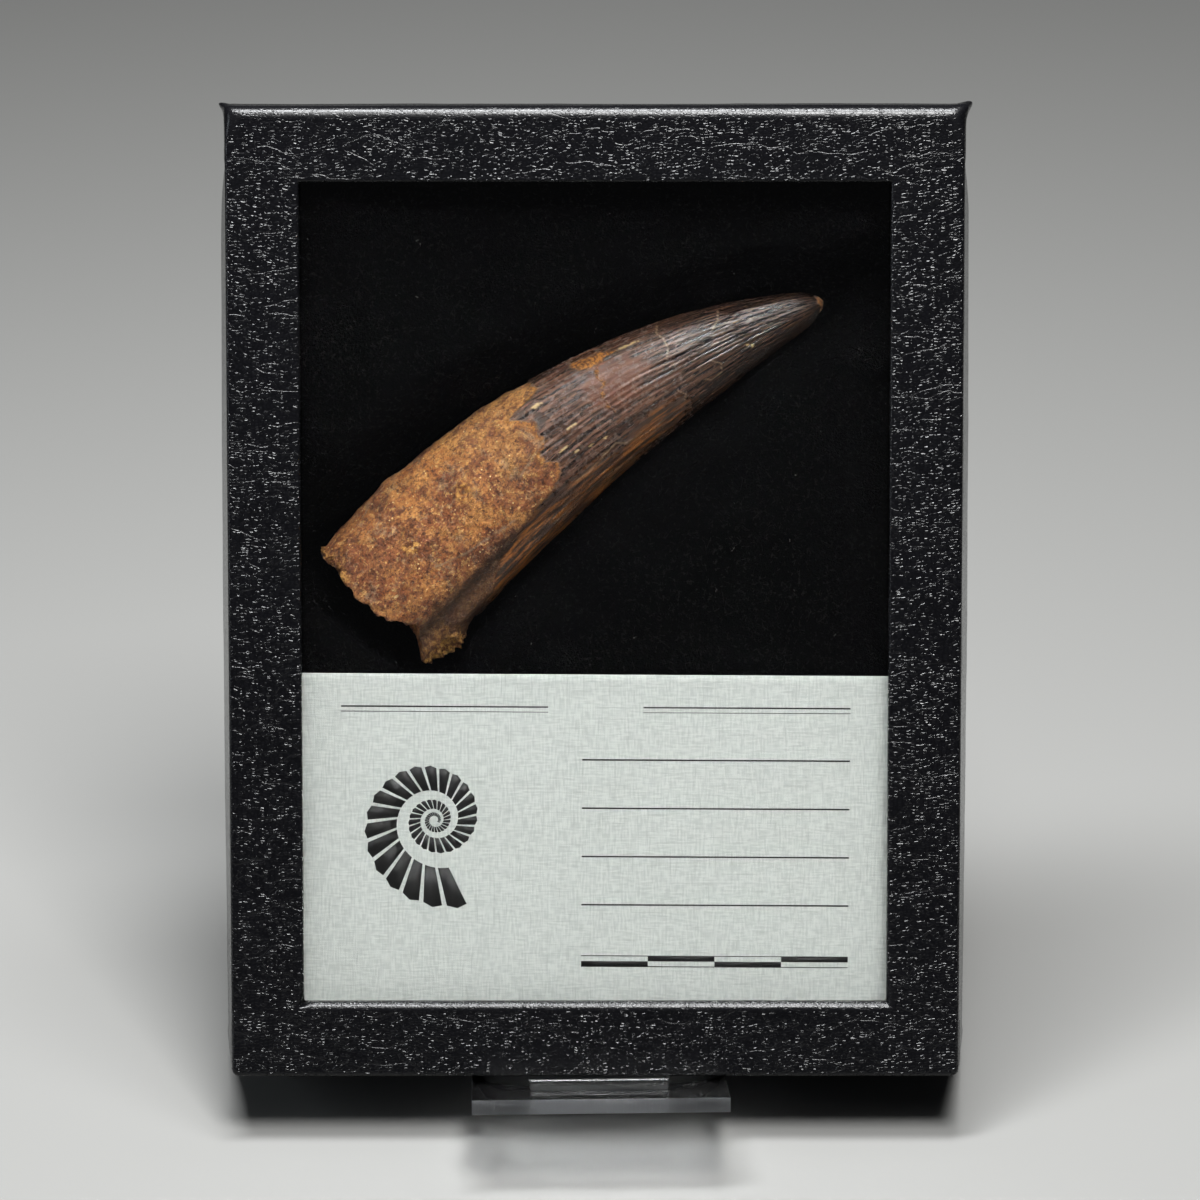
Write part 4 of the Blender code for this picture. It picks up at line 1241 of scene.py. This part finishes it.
# %% The strip and its bends
SHEET, EASEL_WIDTH = 2.2 * MM, 38.0 * MM
EASEL_TURN = math.radians(1.3)
LEDGE_IN_FRONT, LEDGE_GAP, BACK_GAP = 14.3 * MM, 0.45 * MM, 0.7 * MM
BEND_RADIUS, LEG_BEND_RADIUS = 2.0 * MM, 3.0 * MM
BACK_REST_HEIGHT, HINGE_HEIGHT = 80.0 * MM, 68.0 * MM
SLOT_WIDTH, TONGUE_WIDTH, SLOT_START = 21.0 * MM, 20.0 * MM, 14.9 * MM
LEG_LENGTH, LEG_SPREAD = 78.0 * MM, math.radians(28.8)
EASEL_SPIN = Matrix.Rotation(EASEL_TURN, 4, "Z") @ Matrix.Rotation(-LEAN, 4, "X")
EASEL = Matrix.Translation(base_shift) @ EASEL_SPIN

LEDGE_FLAT = CASE_DEPTH + LEDGE_IN_FRONT + BACK_GAP - BEND_RADIUS
BEND_END = LEDGE_FLAT + BEND_RADIUS * math.pi / 2
HINGE = BEND_END + HINGE_HEIGHT - BEND_RADIUS
STRIP_END = BEND_END + BACK_REST_HEIGHT - BEND_RADIUS


def on_strip(length):
    """(y, z) in the box's frame of a line across the strip, at a distance from the ledge's front edge."""
    if length <= LEDGE_FLAT:
        return BACK_GAP - BEND_RADIUS - (LEDGE_FLAT - length), -LEDGE_GAP
    if length >= BEND_END:
        return BACK_GAP, -LEDGE_GAP + BEND_RADIUS + length - BEND_END
    turn = (length - LEDGE_FLAT) / BEND_RADIUS
    y = BACK_GAP - BEND_RADIUS + BEND_RADIUS * math.sin(turn)
    return y, -LEDGE_GAP + BEND_RADIUS * (1 - math.cos(turn))


def on_leg(below):
    """(y, z) of a line across the tongue, at a distance below the hinge line."""
    hinge_y, hinge_z = on_strip(HINGE)
    full = LEAN + LEG_SPREAD
    turn = min(below / LEG_BEND_RADIUS, full)
    straight = max(0.0, below - full * LEG_BEND_RADIUS)
    y = hinge_y + LEG_BEND_RADIUS * (1 - math.cos(turn)) + straight * math.sin(full)
    return y, hinge_z - LEG_BEND_RADIUS * math.sin(turn) - straight * math.cos(full)


print("strip is", round(STRIP_END / MM, 1), "mm long when flat")


# %% [markdown]
# The sheet's faces are laid row by row along the bent strip, leaving the slot open, and the tongue's faces
# go down from the hinge line. The thickened sheet is then cut level with the table.


# %% The bent sheet
def make_easel(sheet_finish, edge_finish):
    bend = list(np.linspace(LEDGE_FLAT, BEND_END, 17))
    lengths = [0.0, SLOT_START, *bend, HINGE, STRIP_END]
    halves = (EASEL_WIDTH / 2, SLOT_WIDTH / 2, TONGUE_WIDTH / 2)
    columns = [-halves[0], -halves[1], -halves[2], halves[2], halves[1], halves[0]]
    bm = bmesh.new()
    grid = [[bm.verts.new((x, *on_strip(length))) for x in columns] for length in lengths]
    for row, (near, far) in enumerate(zip(grid, grid[1:])):
        in_slot = lengths[row] >= SLOT_START and lengths[row + 1] <= HINGE
        for column in range(5):
            if not (in_slot and 0 < column < 4):
                bm.faces.new((near[column], near[column + 1], far[column + 1], far[column]))
    above = [grid[lengths.index(HINGE)][column] for column in (2, 3)]
    full = (LEAN + LEG_SPREAD) * LEG_BEND_RADIUS
    for below in [*np.linspace(full / 14, full, 14), LEG_LENGTH]:
        edge = [bm.verts.new((x, *on_leg(below))) for x in (-halves[2], halves[2])]
        bm.faces.new((above[0], above[1], edge[1], edge[0]))
        above = edge
    bmesh.ops.recalc_face_normals(bm, faces=bm.faces)
    bmesh.ops.delete(bm, geom=[vert for vert in bm.verts if not vert.link_faces], context="VERTS")
    bm.transform(EASEL)
    mesh = bpy.data.meshes.new("bent_acrylic")
    mesh.materials.append(sheet_finish.material)
    mesh.materials.append(edge_finish.material)
    bm.to_mesh(mesh)
    bm.free()
    ledge = min(mesh.polygons, key=lambda face: face.center.y)
    sheet = bpy.data.objects.new("bent_acrylic", mesh)
    bpy.context.scene.collection.objects.link(sheet)
    thick = sheet.modifiers.new("Sheet", "SOLIDIFY")
    thick.thickness = SHEET
    thick.offset = 1.0 if ledge.normal.z < 0 else -1.0
    thick.use_even_offset = True
    thick.material_offset_rim = 1
    edge = sheet.modifiers.new("Eased edges", "BEVEL")
    edge.width = 0.18 * MM
    edge.segments = 2
    edge.limit_method = "ANGLE"
    edge.angle_limit = math.radians(50)
    graph = bpy.context.evaluated_depsgraph_get()
    sheet.data = bpy.data.meshes.new_from_object(sheet.evaluated_get(graph))
    sheet.modifiers.clear()
    for vert in sheet.data.vertices:
        vert.co.z = max(vert.co.z, 0.0)
    print("easel is", round(max(vert.co.z for vert in sheet.data.vertices) / MM, 1), "mm high")
    sheet.data.shade_smooth()
    sheet.data.set_sharp_from_angle(angle=math.radians(30))
    return sheet


# %% [markdown]
# Acrylic is clear, with fine scuffs here and there. Its sawn edges are frosted and show faint saw marks, so
# the rim has a rougher finish of its own, which lets nearly as much light through.


# %% Acrylic
def acrylic(name, rough_low, rough_high, through, **values):
    finish = Finish(name, IOR=1.49, Transmission_Weight=through, **values)
    wear = finish.grain(finish.place(), 260.0, 5.0, 0.7)
    finish.link(finish.levels(wear, 0.45, 0.8, rough_low, rough_high), "Roughness")
    return finish


clear = acrylic("clear acrylic", 0.0, 0.09, 1.0, Base_Color=(0.975, 0.985, 0.99, 1))
sawn = acrylic("sawn acrylic edge", 0.32, 0.5, 0.98, Base_Color=(0.86, 0.89, 0.93, 1))
saw_marks = sawn.grain(sawn.stretched(sawn.place(), 2200, 300, 60), 1.0, 2.0)
sawn.bump(saw_marks, 0.00006)
dress(make_easel(clear, sawn), None, "clear_acrylic", "easel_stand")
